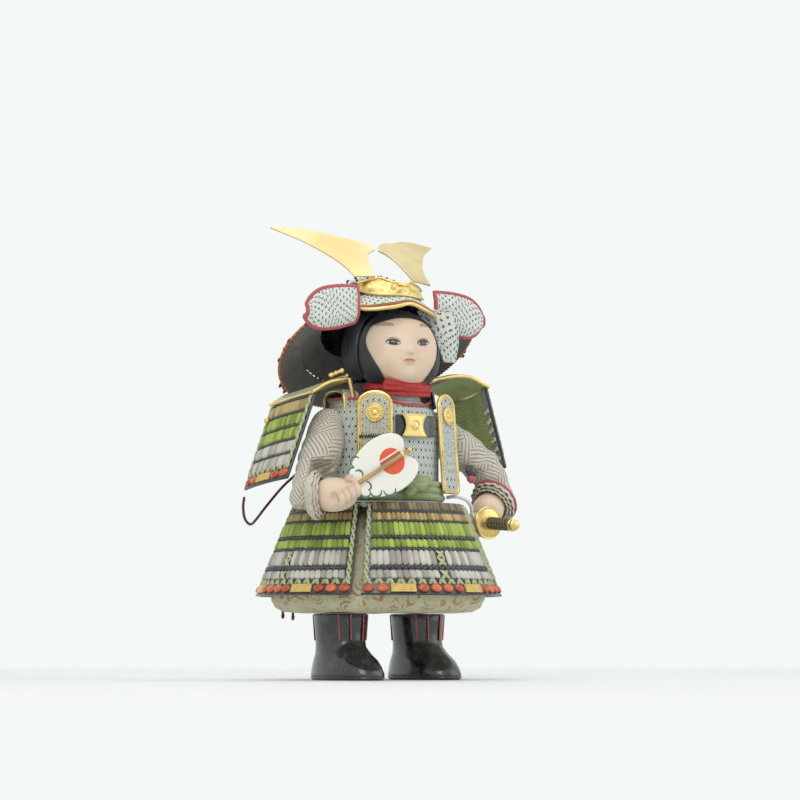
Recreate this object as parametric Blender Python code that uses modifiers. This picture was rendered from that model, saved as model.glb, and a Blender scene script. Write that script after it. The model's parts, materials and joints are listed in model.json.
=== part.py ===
"""Child samurai doll in laced armour, standing, with a horned helmet, a war fan and a sword."""
import math
from collections import namedtuple

import bmesh
import bpy
from mathutils import Matrix, Vector

MM = 0.001
GAP = 0.3 * MM            # clearance between pieces that touch

# The body's axis stands a little to the doll's right of the middle of its footprint
BODY_AXIS = Vector((-7.21, 0, 0)) * MM

# Skirt of laced plates: a cone cut into four panels
SKIRT_TOP_Z = 116 * MM
SKIRT_TOP_RADIUS = 56 * MM
SKIRT_HEM_Z = 55.6 * MM
SKIRT_HEM_RADIUS = 81 * MM
SKIRT_PLATE = 2.4 * MM
SKIRT_PANEL_ANGLE = 85.0
SKIRT_RIBS = 12
RIB_HEIGHT = 1.5 * MM
GOLD_ROW_Z = 103.6 * MM
TALL_GREEN_Z = 92.4 * MM
SHORT_GREEN_Z = 86.0 * MM
TALL_WHITE_Z = 73.2 * MM
SHORT_WHITE_Z = 64.6 * MM
BEAD_HEIGHT = 2.2 * MM
PANEL_BEADS = "oo=oooo=ooo"

# Trunk
TRUNK_RADIUS = 40 * MM
TRUNK_TOP_Z = 184 * MM
TRUNK_SHOULDER_RADIUS = 33 * MM
TRUNK_NECK_RADIUS = 24 * MM
CHEST_TOP_Z = 171 * MM
SASH_BOTTOM_Z = 117.4 * MM
SASH_TOP_Z = 131 * MM
SASH_THICKNESS = 4.2 * MM
SKIRT_CARRIER_Z = 112.5 * MM
STRAP_X = 30 * MM
STRAP_WIDTH = 12 * MM
STRAP_DEPTH = 26 * MM
STRAP_TOP_Z = 192.2 * MM

# Chest pieces
CHEST_PLATE_THICKNESS = 1.7 * MM
CHEST_PLATE_BOTTOM_Z = 160 * MM
CHEST_PLATE_TOP_Z = 174 * MM
CHEST_PLATE_ANGLES = (-19.0, 27.0)
PLAQUE_WIDTH = 19 * MM
PLAQUE_WAIST = 13 * MM
PLAQUE_THICKNESS = 1.2 * MM
CHEST_GUARD_WIDTH = 22 * MM
CHEST_GUARD_THICKNESS = 2.0 * MM
CHEST_GUARD_TOP_Z = 189 * MM
RIGHT_GUARD_BOTTOM_Z = 146 * MM
LEFT_GUARD_BOTTOM_Z = 124 * MM
RIGHT_GUARD_ANGLE = -38.0
LEFT_GUARD_ANGLE = 27.0
LEFT_GUARD_SHIFT = 16 * MM
ROSETTE_RADIUS = 6.2 * MM
ROSETTE_THICKNESS = 2.2 * MM
ROSETTE_DROP = 14 * MM

# Trousers and boots
BOOT_X = 31 * MM
BOOT_HEIGHT = 43.7 * MM
BOOT_WIDTH = 34 * MM
BOOT_LENGTH = 64 * MM
HAKAMA_BOTTOM_Z = BOOT_HEIGHT + GAP
HAKAMA_RADIUS = SKIRT_HEM_RADIUS - 10 * MM
HAKAMA_WAIST_RADIUS = 46 * MM
HAKAMA_FOLDS = 16
FOLD_DEPTH = 0.022

# Head and hair, carried by the trunk
HEAD_RISE = 34 * MM
HEAD_CENTRE = Vector((2 * MM, -19 * MM, TRUNK_TOP_Z + HEAD_RISE))
HEAD_RADII = Vector((25.4, 25.2, 25.2)) * MM
HEAD_TURN = -18.0
NECK_RADIUS = 9 * MM
NECK_Y = -10 * MM
HAIR_CENTRE = HEAD_CENTRE + Vector((-1, 12, -2)) * MM
HAIR_RADII = Vector((30.5, 27, 31)) * MM
HAIR_BOTTOM_Z = HEAD_CENTRE.z - 21 * MM
HAIRLINE_FORWARD = 6 * MM
COLLAR_HEIGHT = 5.5 * MM
COLLAR_RADIUS = 21 * MM
SCARF_RADII = Vector((21.5, 20, 9)) * MM
SCARF_BOW_HALF = 18.5 * MM
SCARF_BOW_HEIGHT = 11 * MM

# Helmet, in its own tilted frame: the rim is at height 0
HELMET_CENTRE = HEAD_CENTRE + Vector((-2, 29, 18)) * MM
HELMET_TILT = -33.0
HELMET_ROLL = 2.2
BOWL_RADIUS = 35 * MM
BOWL_HEIGHT = 33.7 * MM
FINIAL_RADIUS = 4.2 * MM
VISOR_ANGLE = 44.0
VISOR_DROP = 18 * MM
VISOR_REACH = 9 * MM
VISOR_THICKNESS = 1.8 * MM
VISOR_ARCH = 2.6 * MM
HELMET_FIT_Z = 1.5 * MM   # height at which the brim and the neck guard meet the bowl
NECK_GUARD_ANGLE = 110.0
NECK_GUARD_LAP_RADIUS = 51 * MM
NECK_GUARD_LAP_Z = -8 * MM
NECK_GUARD_RIM_RADIUS = 68 * MM
NECK_GUARD_RIM_Z = -16.5 * MM
NECK_GUARD_THICKNESS = 1.8 * MM
TURNBACK_INNER_X = 31.5 * MM
TURNBACK_OUTER_X = 71 * MM
TURNBACK_THICKNESS = 2 * MM
TURNBACK_HALF_HEIGHT = 13.5 * MM
TURNBACK_RISE = 11 * MM
TURNBACK_FALL = 6 * MM
TURNBACK_FACE_Y = -22.6 * MM

# Horns and the plate that holds them
HORN_BASE = Vector((22.6, -37.3, 11.9)) * MM
HORN_THICKNESS = 1.2 * MM
HORN_LEAN = 17.7
HORN_SWEEP = 9.5
PLATE_ANGLE = 40.0
PLATE_BOTTOM = -7.5 * MM
PLATE_DIP = 2.5 * MM
PLATE_HORN_SEAT = 10.4 * MM
PLATE_THICKNESS = 2.2 * MM
PLATE_LEAN = 5.2 * MM
PLATE_TIP_RISE = 13.6 * MM
PLATE_TIP_FALL = 3 * MM

# Shoulder guards: sheets of laced rows under a curved crown plate. Each guard is in millimetres.
GUARD_PLATE = 1.8 * MM
GUARD_BOW = 3.0 * MM
GUARD_RIBS = 7
GUARD_ROWS = 5
GUARD_RIB_HEIGHT = 1.3 * MM
GUARD_BOARD_HEIGHT = 8 * MM
GUARD_BEAD_HEIGHT = 1.8 * MM
GUARD_BEADS = "oo=oo"
CROWN_THICKNESS = 2 * MM
CROWN_END = 4.6 * MM
Guard = namedtuple("Guard", "sign top_x top_z hem_x hem_z front_y back_y drop crown")
RIGHT_GUARD = Guard(sign=-1, top_x=60, top_z=187, hem_x=81.5, hem_z=132, front_y=-12.5, back_y=38, drop=6,
                    crown=((34, 196), (41, 196), (50, 193.5), (61, 187.6)))
LEFT_GUARD = Guard(sign=1, top_x=81, top_z=196, hem_x=97, hem_z=144, front_y=-12, back_y=30, drop=8,
                   crown=((34, 197.4), (44, 201), (56, 203), (68, 202.4), (82, 196.6)))

# Arms: points down the middle of each sleeve with its radius there, in millimetres
CUFF_LENGTH = 7 * MM
CUFF_INNER_RADIUS = 10.8 * MM
CUFF_OUTER_RADIUS = 14.5 * MM
CUFF_GATHERS = 9
CUFF_GATHER = 0.7 * MM
Arm = namedtuple("Arm", "sleeve wrist direction palm palm_shift")
RIGHT_ARM = Arm(sleeve=((-38, -2, 172, 11), (-44, -4, 166, 13), (-52, -10, 153, 14), (-62, -17, 138, 14.5),
                        (-70.5, -21.5, 127, 13.3), (-75, -24, 120, 12.5), (-76, -26, 112, 9)),
                wrist=Vector((-74, -29, 119.5)), direction=Vector((0.67, -0.74, 0.03)),
                palm=Vector((12, 12, 17)), palm_shift=16)
LEFT_ARM = Arm(sleeve=((38, -2, 172, 11), (45, -2, 167, 13), (60, -4, 157, 14.5), (77, -9, 144, 14),
                       (87, -12, 133, 13), (89, -13, 125, 12.5), (90, -14, 117, 9)),
               wrist=Vector((85, -16, 121)), direction=Vector((-0.75, -0.33, -0.55)),
               palm=Vector((11.5, 11, 13.5)), palm_shift=11.5)

# Fan
FAN_BASE = Vector((-53.0, -50.6, 126.2)) * MM
FAN_DIRECTION = Vector((0.856, -0.082, 0.510))
FAN_FACE = Vector((-0.196, -0.965, 0.175))
FAN_THICKNESS = 1.8 * MM
FAN_SHAFT_RADIUS = 1.6 * MM
FAN_SHAFT_TIP = 47 * MM
FAN_SHAFT_BUTT = -13 * MM

# Sword, hung edge down at the left hip with its hilt forward
SWORD_CENTRE = Vector((66.5, -33, 104.5)) * MM
SWORD_GUARD_RADIUS = 11 * MM
SWORD_GUARD_THICKNESS = 1.6 * MM
GRIP_LENGTH = 24 * MM
GRIP_RADIUS = 3.8 * MM
POMMEL_LENGTH = 5 * MM
SCABBARD_RADIUS = 3.6 * MM

# Cords
CORD_RADIUS = 0.9 * MM
SWORD_CORD_RADIUS = 1.2 * MM

# Each material's colour, roughness and metallic value
LOOKS = {
    "skin": ((0.82, 0.67, 0.51), 0.45),
    "black_lacquer": ((0.02, 0.022, 0.028), 0.35),
    "hair": ((0.012, 0.012, 0.015), 0.5),
    "gold": ((0.78, 0.60, 0.22), 0.28, 1.0),
    "pale_gold": ((0.72, 0.60, 0.33), 0.42, 1.0),
    "patterned_cloth": ((0.72, 0.78, 0.74), 0.8),
    "green_lacing": ((0.47, 0.60, 0.10), 0.7),
    "white_lacing": ((0.72, 0.70, 0.62), 0.7),
    "bead_board": ((0.62, 0.13, 0.04), 0.4),
    "sash_green": ((0.28, 0.33, 0.14), 0.8),
    "brocade": ((0.56, 0.52, 0.33), 0.75),
    "sleeve_cloth": ((0.64, 0.58, 0.50), 0.8),
    "cuff_cloth": ((0.66, 0.63, 0.55), 0.85),
    "red_cloth": ((0.53, 0.02, 0.02), 0.6),
    "white_cloth": ((0.82, 0.80, 0.78), 0.8),
    "cord_red": ((0.16, 0.02, 0.03), 0.7),
    "fan_lacquer": ((0.95, 0.94, 0.86), 0.3),
    "fan_wood": ((0.48, 0.32, 0.10), 0.5),
    "grip_wrap": ((0.15, 0.12, 0.04), 0.6),
}


def vec(x, y, z):
    """A point given in millimetres."""
    return Vector((x, y, z)) * MM


def polar(radius, angle, z):
    """A point round the axis: angle 0 is the doll's front, positive towards its left hand."""
    turn = math.radians(angle)
    return Vector((radius * math.sin(turn), -radius * math.cos(turn), z))


def make_material(name, colour, roughness, metallic=0.0):
    material = bpy.data.materials.new(name)
    material.use_nodes = True
    shader = material.node_tree.nodes["Principled BSDF"]
    shader.inputs["Base Color"].default_value = (*colour, 1.0)
    shader.inputs["Roughness"].default_value = roughness
    shader.inputs["Metallic"].default_value = metallic
    return material


def make_empty(name, location, collection, parent=None, tilt=0.0, roll=0.0):
    empty = bpy.data.objects.new(name, None)
    collection.objects.link(empty)
    empty.location = location
    empty.rotation_euler = (math.radians(tilt), math.radians(roll), 0)
    empty.parent = parent
    return empty


class Doll:
    """Where finished pieces and cutters go, and the frames that they are placed in."""

    def __init__(self):
        self.parts = bpy.data.collections.new("samurai_doll")
        self.cutters = bpy.data.collections.new("cutters")
        bpy.context.scene.collection.children.link(self.parts)
        bpy.context.scene.collection.children.link(self.cutters)
        self.body = make_empty("body_frame", BODY_AXIS, self.parts)
        self.helmet = make_empty("helmet_frame", HELMET_CENTRE, self.parts, self.body,
                                 HELMET_TILT, HELMET_ROLL)

    def add(self, name, mesh, material, frame=None, angle=35.0):
        """Link a finished mesh as a named piece, with smooth faces and crisp edges."""
        obj = bpy.data.objects.new(name, mesh)
        self.parts.objects.link(obj)
        obj.parent = frame or self.body
        mesh.materials.append(material)
        mesh.shade_smooth()
        mesh.set_sharp_from_angle(angle=math.radians(angle))
        return obj

    def add_cutter(self, name, mesh):
        """Link a shape that only cuts or joins another, out of the render."""
        obj = bpy.data.objects.new(name, mesh)
        self.cutters.objects.link(obj)
        obj.parent = self.body
        obj.hide_render = True
        obj.display_type = "WIRE"
        return obj


def mesh_from(name, shape):
    """Turn a bmesh into mesh data whose faces point out."""
    bmesh.ops.recalc_face_normals(shape, faces=shape.faces)
    if shape.calc_volume(signed=True) < 0:
        bmesh.ops.reverse_faces(shape, faces=shape.faces)
    mesh = bpy.data.meshes.new(name)
    shape.to_mesh(mesh)
    shape.free()
    return mesh


def loft(name, rings):
    """A closed solid through rings of equal point count, with flat ends."""
    shape = bmesh.new()
    rows = [[shape.verts.new(point) for point in ring] for ring in rings]
    for row, following in zip(rows, rows[1:]):
        for i in range(len(row)):
            j = (i + 1) % len(row)
            shape.faces.new((row[i], row[j], following[j], following[i]))
    shape.faces.new(rows[0])
    shape.faces.new(rows[-1])
    return mesh_from(name, shape)


def ellipsoid(name, centre, radii, segments=16, rings=10, turn=0.0):
    shape = bmesh.new()
    bmesh.ops.create_uvsphere(shape, u_segments=segments, v_segments=rings, radius=1.0)
    place = Matrix.Translation(centre) @ Matrix.Rotation(math.radians(turn), 4, "Z")
    bmesh.ops.transform(shape, matrix=place @ Matrix.Diagonal((*radii, 1.0)), verts=shape.verts)
    return mesh_from(name, shape)


def rod(name, start, end, radius, end_radius=None, sides=12):
    """A straight round bar or cone between two points."""
    shape = bmesh.new()
    axis = end - start
    bmesh.ops.create_cone(shape, cap_ends=True, segments=sides, radius1=radius,
                          radius2=radius if end_radius is None else end_radius, depth=axis.length)
    turn = axis.to_track_quat("Z", "Y").to_matrix().to_4x4()
    place = Matrix.Translation((start + end) / 2) @ turn
    bmesh.ops.transform(shape, matrix=place, verts=shape.verts)
    return mesh_from(name, shape)


def box(name, low, high, bevel=0.0):
    shape = bmesh.new()
    size = high - low
    place = Matrix.Translation((low + high) / 2) @ Matrix.Diagonal((*size, 1.0))
    bmesh.ops.create_cube(shape, size=1.0, matrix=place)
    if bevel:
        bmesh.ops.bevel(shape, geom=shape.edges[:], offset=bevel, segments=1, affect="EDGES")
    return mesh_from(name, shape)


def slice_off(mesh, point, normal):
    """Cut away what lies beyond a plane and close the cut."""
    shape = bmesh.new()
    shape.from_mesh(mesh)
    everything = shape.verts[:] + shape.edges[:] + shape.faces[:]
    bmesh.ops.bisect_plane(shape, geom=everything, plane_co=point, plane_no=normal,
                           clear_outer=True)
    bmesh.ops.remove_doubles(shape, verts=shape.verts, dist=0.02 * MM)
    open_edges = [edge for edge in shape.edges if edge.is_boundary]
    bmesh.ops.holes_fill(shape, edges=open_edges, sides=0)
    name = mesh.name
    bpy.data.meshes.remove(mesh)
    return mesh_from(name, shape)


def turned(doll, name, profile, material, frame=None, steps=24, location=(0, 0, 0)):
    """A turned piece: a profile from top to bottom, swept round Z by a Screw modifier."""
    mesh = bpy.data.meshes.new(name)
    closed = Vector(profile[0]) == Vector(profile[-1])
    points = profile[:-1] if closed else profile
    edges = [(i, i + 1) for i in range(len(points) - 1)]
    if closed:
        edges.append((len(points) - 1, 0))
    mesh.from_pydata([(r, 0, z) for r, z in points], edges, [])
    obj = doll.add(name, mesh, material, frame)
    obj.location = location
    screw = obj.modifiers.new("turn", "SCREW")
    screw.steps = steps
    screw.render_steps = steps
    screw.use_merge_vertices = True
    screw.merge_threshold = 0.00005
    screw.use_smooth_shade = True
    return obj


def outline_plate(name, points, thickness):
    """A flat plate cut from sheet: a closed 2D curve, extruded to its thickness."""
    curve = bpy.data.curves.new(name, "CURVE")
    curve.dimensions = "2D"
    curve.fill_mode = "BOTH"
    curve.extrude = thickness / 2
    spline = curve.splines.new("POLY")
    spline.points.add(len(points) - 1)
    for knot, (x, y) in zip(spline.points, points):
        knot.co = (x, y, 0, 1)
    spline.use_cyclic_u = True
    return curve_mesh(name, curve)


def curve_mesh(name, curve):
    """The mesh of a curve, with its loose caps welded."""
    carrier = bpy.data.objects.new(name + "_curve", curve)
    bpy.context.scene.collection.objects.link(carrier)
    graph = bpy.context.evaluated_depsgraph_get()
    flat = bpy.data.meshes.new_from_object(carrier.evaluated_get(graph))
    bpy.data.objects.remove(carrier)
    bpy.data.curves.remove(curve)
    shape = bmesh.new()
    shape.from_mesh(flat)
    bpy.data.meshes.remove(flat)
    bmesh.ops.remove_doubles(shape, verts=shape.verts, dist=0.01 * MM)
    return mesh_from(name, shape)


def smooth_path(points, spacing):
    """Points a set distance apart along a smooth curve through the given ones."""
    path = [Vector(p) for p in points]
    ends = [path[0] * 2 - path[1]] + path + [path[-1] * 2 - path[-2]]
    dense = []
    for a, b, c, d in zip(ends, ends[1:], ends[2:], ends[3:]):
        for i in range(16):
            t = i / 16
            dense.append(0.5 * (2 * b + (c - a) * t + (2 * a - 5 * b + 4 * c - d) * t * t
                                + (3 * b - a - 3 * c + d) * t ** 3))
    dense.append(path[-1])
    length = sum((q - p).length for p, q in zip(dense, dense[1:]))
    count = max(2, round(length / spacing))
    chosen = [dense[0]]
    travelled = 0.0
    for p, q in zip(dense, dense[1:]):
        travelled += (q - p).length
        if travelled >= length * len(chosen) / count - 1e-9 and len(chosen) < count:
            chosen.append(q)
    chosen.append(dense[-1])
    return chosen


def tube(name, path, radii, roundness=2):
    """A round tube along points, with a radius at each, closed at both ends."""
    curve = bpy.data.curves.new(name, "CURVE")
    curve.dimensions = "3D"
    curve.bevel_depth = 1.0
    curve.bevel_resolution = roundness
    curve.use_fill_caps = True
    curve.twist_mode = "MINIMUM"
    spline = curve.splines.new("POLY")
    spline.points.add(len(path) - 1)
    for knot, point, radius in zip(spline.points, path, radii):
        knot.co = (*point, 1)
        knot.radius = radius
    return curve_mesh(name, curve)


def axes_matrix(origin, x_axis, y_axis):
    """A frame with its origin, its X and Y directions and the Z that follows from them."""
    x = x_axis.normalized()
    z = x.cross(y_axis).normalized()
    y = z.cross(x)
    turn = Matrix((x, y, z)).transposed().to_4x4()
    return Matrix.Translation(origin) @ turn


def boolean(obj, other, operation):
    change = obj.modifiers.new(other.name, "BOOLEAN")
    change.operation = operation
    change.solver = "EXACT"
    change.object = other
    return change


# Laced rows, used by the skirt and the shoulder guards

def rib_columns(ribs):
    """Places across a sheet from 0 to 1, each with how far the lacing stands out there."""
    columns = [(0.0, 0.35)]
    for i in range(ribs):
        columns.append(((i + 0.5) / ribs, 1.0))
        columns.append(((i + 1) / ribs, 0.35))
    return columns


def bead_columns(pattern):
    """The same for a board: o is a round bead, = is a gold block two beads wide."""
    widths = [2.0 if mark == "=" else 1.0 for mark in pattern]
    total = sum(widths)
    columns = [(0.0, 0.1)]
    start = 0.0
    for mark, width in zip(pattern, widths):
        if mark == "=":
            columns.append(((start + 0.12) / total, 0.8))
            columns.append(((start + width - 0.12) / total, 0.8))
        else:
            columns.append(((start + 0.5) / total, 1.0))
        start += width
        columns.append((start / total, 0.1))
    return columns


def row_profile(levels, rib):
    """Heights down a laced sheet with how far each stands out: every row steps out at its foot."""
    profile = []
    for top, bottom in zip(levels, levels[1:]):
        lip = min(0.6 * MM, (top - bottom) * 0.15)
        profile.append((top - lip, 0.35 * rib))
        profile.append((bottom + lip, rib))
    profile[0] = (levels[0], profile[0][1])
    profile[-1] = (levels[-1], profile[-1][1])
    return profile


def board_profile(top, bottom, rise):
    return [(top, 0.1 * rise), ((top + bottom) / 2, rise), (bottom, 0.1 * rise)]


# The skirt

def skirt_radius(z):
    share = (SKIRT_TOP_Z - z) / (SKIRT_TOP_Z - SKIRT_HEM_Z)
    return SKIRT_TOP_RADIUS + share * (SKIRT_HEM_RADIUS - SKIRT_TOP_RADIUS)


def skirt_strip(name, middle, profile, columns):
    """One row of a skirt panel: its section, swept round the body with the lacing standing out."""
    top, bottom = profile[0][0], profile[-1][0]
    rings = []
    for share, relief in columns:
        angle = middle + (share - 0.5) * SKIRT_PANEL_ANGLE
        ring = [polar(skirt_radius(z) + out * relief, angle, z) for z, out in profile]
        ring.append(polar(skirt_radius(bottom) - SKIRT_PLATE, angle, bottom))
        ring.append(polar(skirt_radius(top) - SKIRT_PLATE, angle, top))
        rings.append(ring)
    return loft(name, rings)


def build_skirt(doll, lacing, boards):
    ribs = rib_columns(SKIRT_RIBS)
    beads = bead_columns(PANEL_BEADS)
    upper = row_profile((SKIRT_TOP_Z, GOLD_ROW_Z, TALL_GREEN_Z, SHORT_GREEN_Z), RIB_HEIGHT)
    lower = row_profile((SHORT_GREEN_Z - GAP, TALL_WHITE_Z, SHORT_WHITE_Z), RIB_HEIGHT)
    board = board_profile(SHORT_WHITE_Z - GAP, SKIRT_HEM_Z, BEAD_HEIGHT)
    panels = {"front": 0.0, "left": 90.0, "back": 180.0, "right": 270.0}
    for side, middle in panels.items():
        for part, profile, columns, material in (("upper_rows", upper, ribs, lacing[0]),
                                                 ("lower_rows", lower, ribs, lacing[1]),
                                                 ("board", board, beads, boards)):
            name = f"skirt_{side}_{part}"
            doll.add(name, skirt_strip(name, middle, profile, columns), material, angle=50)


# The legs

def boot_mesh(name, x):
    """A boot with a flat sole and a shin guard above it, lofted from sole to knee."""
    half = BOOT_WIDTH / 2
    levels = ((0.0, 1.0, 1.0, 0.0), (0.09, 1.04, 1.02, 0.0), (0.3, 0.98, 0.86, 0.04),
              (0.5, 0.86, 0.6, 0.12), (0.72, 0.92, 0.56, 0.13), (1.0, 1.0, 0.58, 0.13))
    rings = []
    for height, wide, long, back in levels:
        ring = []
        for i in range(14):
            turn = 2 * math.pi * i / 14
            across = half * wide * math.copysign(abs(math.cos(turn)) ** 0.8, math.cos(turn))
            along = BOOT_LENGTH / 2 * long * math.sin(turn)
            ring.append(Vector((x + across, along + BOOT_LENGTH * back - 9 * MM, height * BOOT_HEIGHT)))
        rings.append(ring)
    return loft(name, rings)


def build_legs(doll, black, brocade):
    doll.add("right_boot", boot_mesh("right_boot", -BOOT_X), black)
    doll.add("left_boot", boot_mesh("left_boot", BOOT_X), black)
    waist_z = SKIRT_CARRIER_Z - GAP
    levels = ((HAKAMA_BOTTOM_Z, 0.70, 0.4), (HAKAMA_BOTTOM_Z + 2 * MM, 0.86, 1.0),
              (HAKAMA_BOTTOM_Z + 7 * MM, 0.955, 1.0), (HAKAMA_BOTTOM_Z + 16 * MM, 1.0, 1.0),
              (HAKAMA_BOTTOM_Z + 40 * MM, 0.84, 0.8), (waist_z, HAKAMA_WAIST_RADIUS / HAKAMA_RADIUS, 0.0))
    points = HAKAMA_FOLDS * 2
    rings = []
    for z, share, fold in levels:
        ring = []
        for i in range(points):
            wave = 1 + FOLD_DEPTH * fold * (1 if i % 2 else -1)
            ring.append(polar(HAKAMA_RADIUS * share * wave, 360 * i / points, z))
        rings.append(ring)
    doll.add("hakama", loft("hakama", rings), brocade, angle=60)


# The trunk

def trunk_profile(grow=0.0):
    r, top = TRUNK_RADIUS + grow, TRUNK_TOP_Z + grow
    flange = SKIRT_TOP_RADIUS - SKIRT_PLATE - GAP + grow
    return [(0, top), (TRUNK_NECK_RADIUS + grow, top),
            (TRUNK_SHOULDER_RADIUS + grow, top - 2 * MM), (r - 2 * MM, (top + CHEST_TOP_Z) / 2),
            (r, CHEST_TOP_Z), (r, SASH_BOTTOM_Z), (flange, SKIRT_TOP_Z - grow),
            (flange, SKIRT_CARRIER_Z), (0, SKIRT_CARRIER_Z)]


def trunk_space(doll):
    """The room that the trunk takes, cut out of what leans on it."""
    rings = [[polar(radius, 360 * i / 24, z) for i in range(24)]
             for radius, z in trunk_profile(GAP) if radius > 0]
    return doll.add_cutter("trunk_space", loft("trunk_space", rings))


def build_trunk(doll, textile, green, black, gold):
    cuirass = turned(doll, "cuirass", trunk_profile(), textile)
    for side, sign in (("right", -1), ("left", 1)):
        low = Vector((sign * STRAP_X - STRAP_WIDTH / 2, -STRAP_DEPTH / 2, TRUNK_TOP_Z - 14 * MM))
        high = Vector((sign * STRAP_X + STRAP_WIDTH / 2, STRAP_DEPTH / 2, STRAP_TOP_Z))
        strap = doll.add_cutter(side + "_strap_form", box(side + "_strap_form", low, high, 1.5 * MM))
        boolean(cuirass, strap, "UNION")
    build_sash(doll, green)
    build_chest_plate(doll, black, gold)


def build_sash(doll, green):
    """The sash and the knot that closes it in front, as one folded cloth."""
    inner = TRUNK_RADIUS + GAP
    outer = inner + SASH_THICKNESS
    middle = (SASH_TOP_Z + SASH_BOTTOM_Z + GAP) / 2
    low = SASH_BOTTOM_Z + GAP
    profile = [(inner, SASH_TOP_Z), (outer - 1 * MM, SASH_TOP_Z), (outer, middle + 3 * MM),
               (outer - 0.8 * MM, middle), (outer, middle - 3 * MM), (outer - 1 * MM, low),
               (inner, low), (inner, SASH_TOP_Z)]
    sash = turned(doll, "waist_sash", profile, green)
    knot_outline = [(-10, -6), (-9, 4.5), (-4, 8.5), (5, 8), (9.5, 3.5), (7.5, -2.5), (3, -5), (1, -8),
                    (-6, -8)]
    points = [(x * MM, y * MM) for x, y in knot_outline]
    knot = outline_plate("knot_form", points, 7 * MM)
    place = axes_matrix(Vector((-1.5 * MM, -outer - 2.4 * MM, middle + 2 * MM)),
                        Vector((1, 0, 0)), Vector((0, 0, 1)))
    knot.transform(place)
    boolean(sash, doll.add_cutter("knot_form", knot), "UNION")


def build_chest_plate(doll, black, gold):
    inner = TRUNK_RADIUS + GAP
    outer = inner + CHEST_PLATE_THICKNESS
    first, last = CHEST_PLATE_ANGLES
    rings = []
    for i in range(9):
        angle = first + (last - first) * i / 8
        rings.append([polar(inner, angle, CHEST_PLATE_TOP_Z), polar(outer, angle, CHEST_PLATE_TOP_Z),
                      polar(outer, angle, CHEST_PLATE_BOTTOM_Z),
                      polar(inner, angle, CHEST_PLATE_BOTTOM_Z)])
    doll.add("chest_plate", loft("chest_plate", rings), black)
    half, waist = PLAQUE_WIDTH / 2, PLAQUE_WAIST / 2
    height = (CHEST_PLATE_TOP_Z - CHEST_PLATE_BOTTOM_Z) / 2
    right_side = [(half, -height), (waist + 1 * MM, -height / 2), (waist, 0), (waist + 1 * MM, height / 2),
                  (half, height)]
    left_side = [(-x, y) for x, y in reversed(right_side)]
    plaque = outline_plate("chest_plaque", right_side + left_side, PLAQUE_THICKNESS)
    middle_z = (CHEST_PLATE_TOP_Z + CHEST_PLATE_BOTTOM_Z) / 2
    face_y = -(outer + GAP + PLAQUE_THICKNESS / 2)
    plaque.transform(axes_matrix(Vector((-1 * MM, face_y, middle_z)), Vector((1, 0, 0)),
                                 Vector((0, 0, 1))))
    piece = doll.add("chest_plaque", plaque, gold)
    boss = ellipsoid("plaque_boss_form", Vector((-1 * MM, face_y - PLAQUE_THICKNESS / 2, middle_z)),
                     Vector((2.6, 1.1, 2.6)) * MM, 10, 6)
    boolean(piece, doll.add_cutter("plaque_boss_form", boss), "UNION")


def chest_guard_frame(angle, shift, bottom):
    """The foot of a chest guard's back face, X across it and Y up: it leans out over the sash."""
    out = polar(1.0, angle, 0)
    across = Vector((-out.y, out.x, 0))
    foot = TRUNK_RADIUS + GAP
    if bottom < SASH_TOP_Z:
        foot += SASH_THICKNESS + GAP
    head = out * (TRUNK_RADIUS + GAP) + Vector((0, 0, CHEST_GUARD_TOP_Z))
    origin = out * foot + Vector((0, 0, bottom))
    return axes_matrix(origin + across * shift, across, head - origin)


def build_chest_guard(doll, side, angle, shift, bottom, material, gold):
    """A hanging board with an arched head, and the gold rosette on it."""
    half = CHEST_GUARD_WIDTH / 2
    height = CHEST_GUARD_TOP_Z - bottom
    arch = half * 0.75
    points = [(half * math.cos(math.radians(a)), height - arch + arch * math.sin(math.radians(a)))
              for a in range(0, 181, 20)]
    corner = 2.5 * MM
    points += [(-half, corner), (-half + corner, 0), (half - corner, 0), (half, corner)]
    plate = outline_plate(f"{side}_chest_guard", points, CHEST_GUARD_THICKNESS)
    frame = chest_guard_frame(angle, shift, bottom)
    out = frame.to_3x3() @ Vector((0, 0, 1))
    facing = polar(1.0, angle, 0).dot(out)
    lift = math.copysign(CHEST_GUARD_THICKNESS / 2, facing)
    plate.transform(frame @ Matrix.Translation((0, 0, lift)))
    doll.add(f"{side}_chest_guard", plate, material)
    profile = [(0, 1.0), (0.22, 0.94), (0.34, 0.55), (0.5, 0.72), (0.8, 0.6), (1.0, 0.25), (1.0, 0.0),
               (0, 0.0)]
    scaled = [(r * ROSETTE_RADIUS, z * ROSETTE_THICKNESS) for r, z in profile]
    rosette = turned(doll, f"{side}_rosette", scaled, gold, steps=12)
    start = lift * 2 + math.copysign(GAP, facing)
    seat = frame @ Matrix.Translation((0, height - ROSETTE_DROP, start))
    if facing < 0:
        seat = seat @ Matrix.Rotation(math.pi, 4, "X")
    rosette.matrix_local = seat


# Head, hair, collar and scarf

def head_mesh(name, grow=0.0):
    radii = HEAD_RADII + Vector((grow, grow, grow))
    return ellipsoid(name, HEAD_CENTRE, radii, 18, 12, HEAD_TURN)


def neck_mesh(name, grow=0.0):
    start = Vector((HEAD_CENTRE.x, NECK_Y, TRUNK_TOP_Z + GAP - grow))
    end = Vector((HEAD_CENTRE.x, NECK_Y, HEAD_CENTRE.z - 12 * MM))
    return rod(name, start, end, NECK_RADIUS + grow, sides=16)


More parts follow.
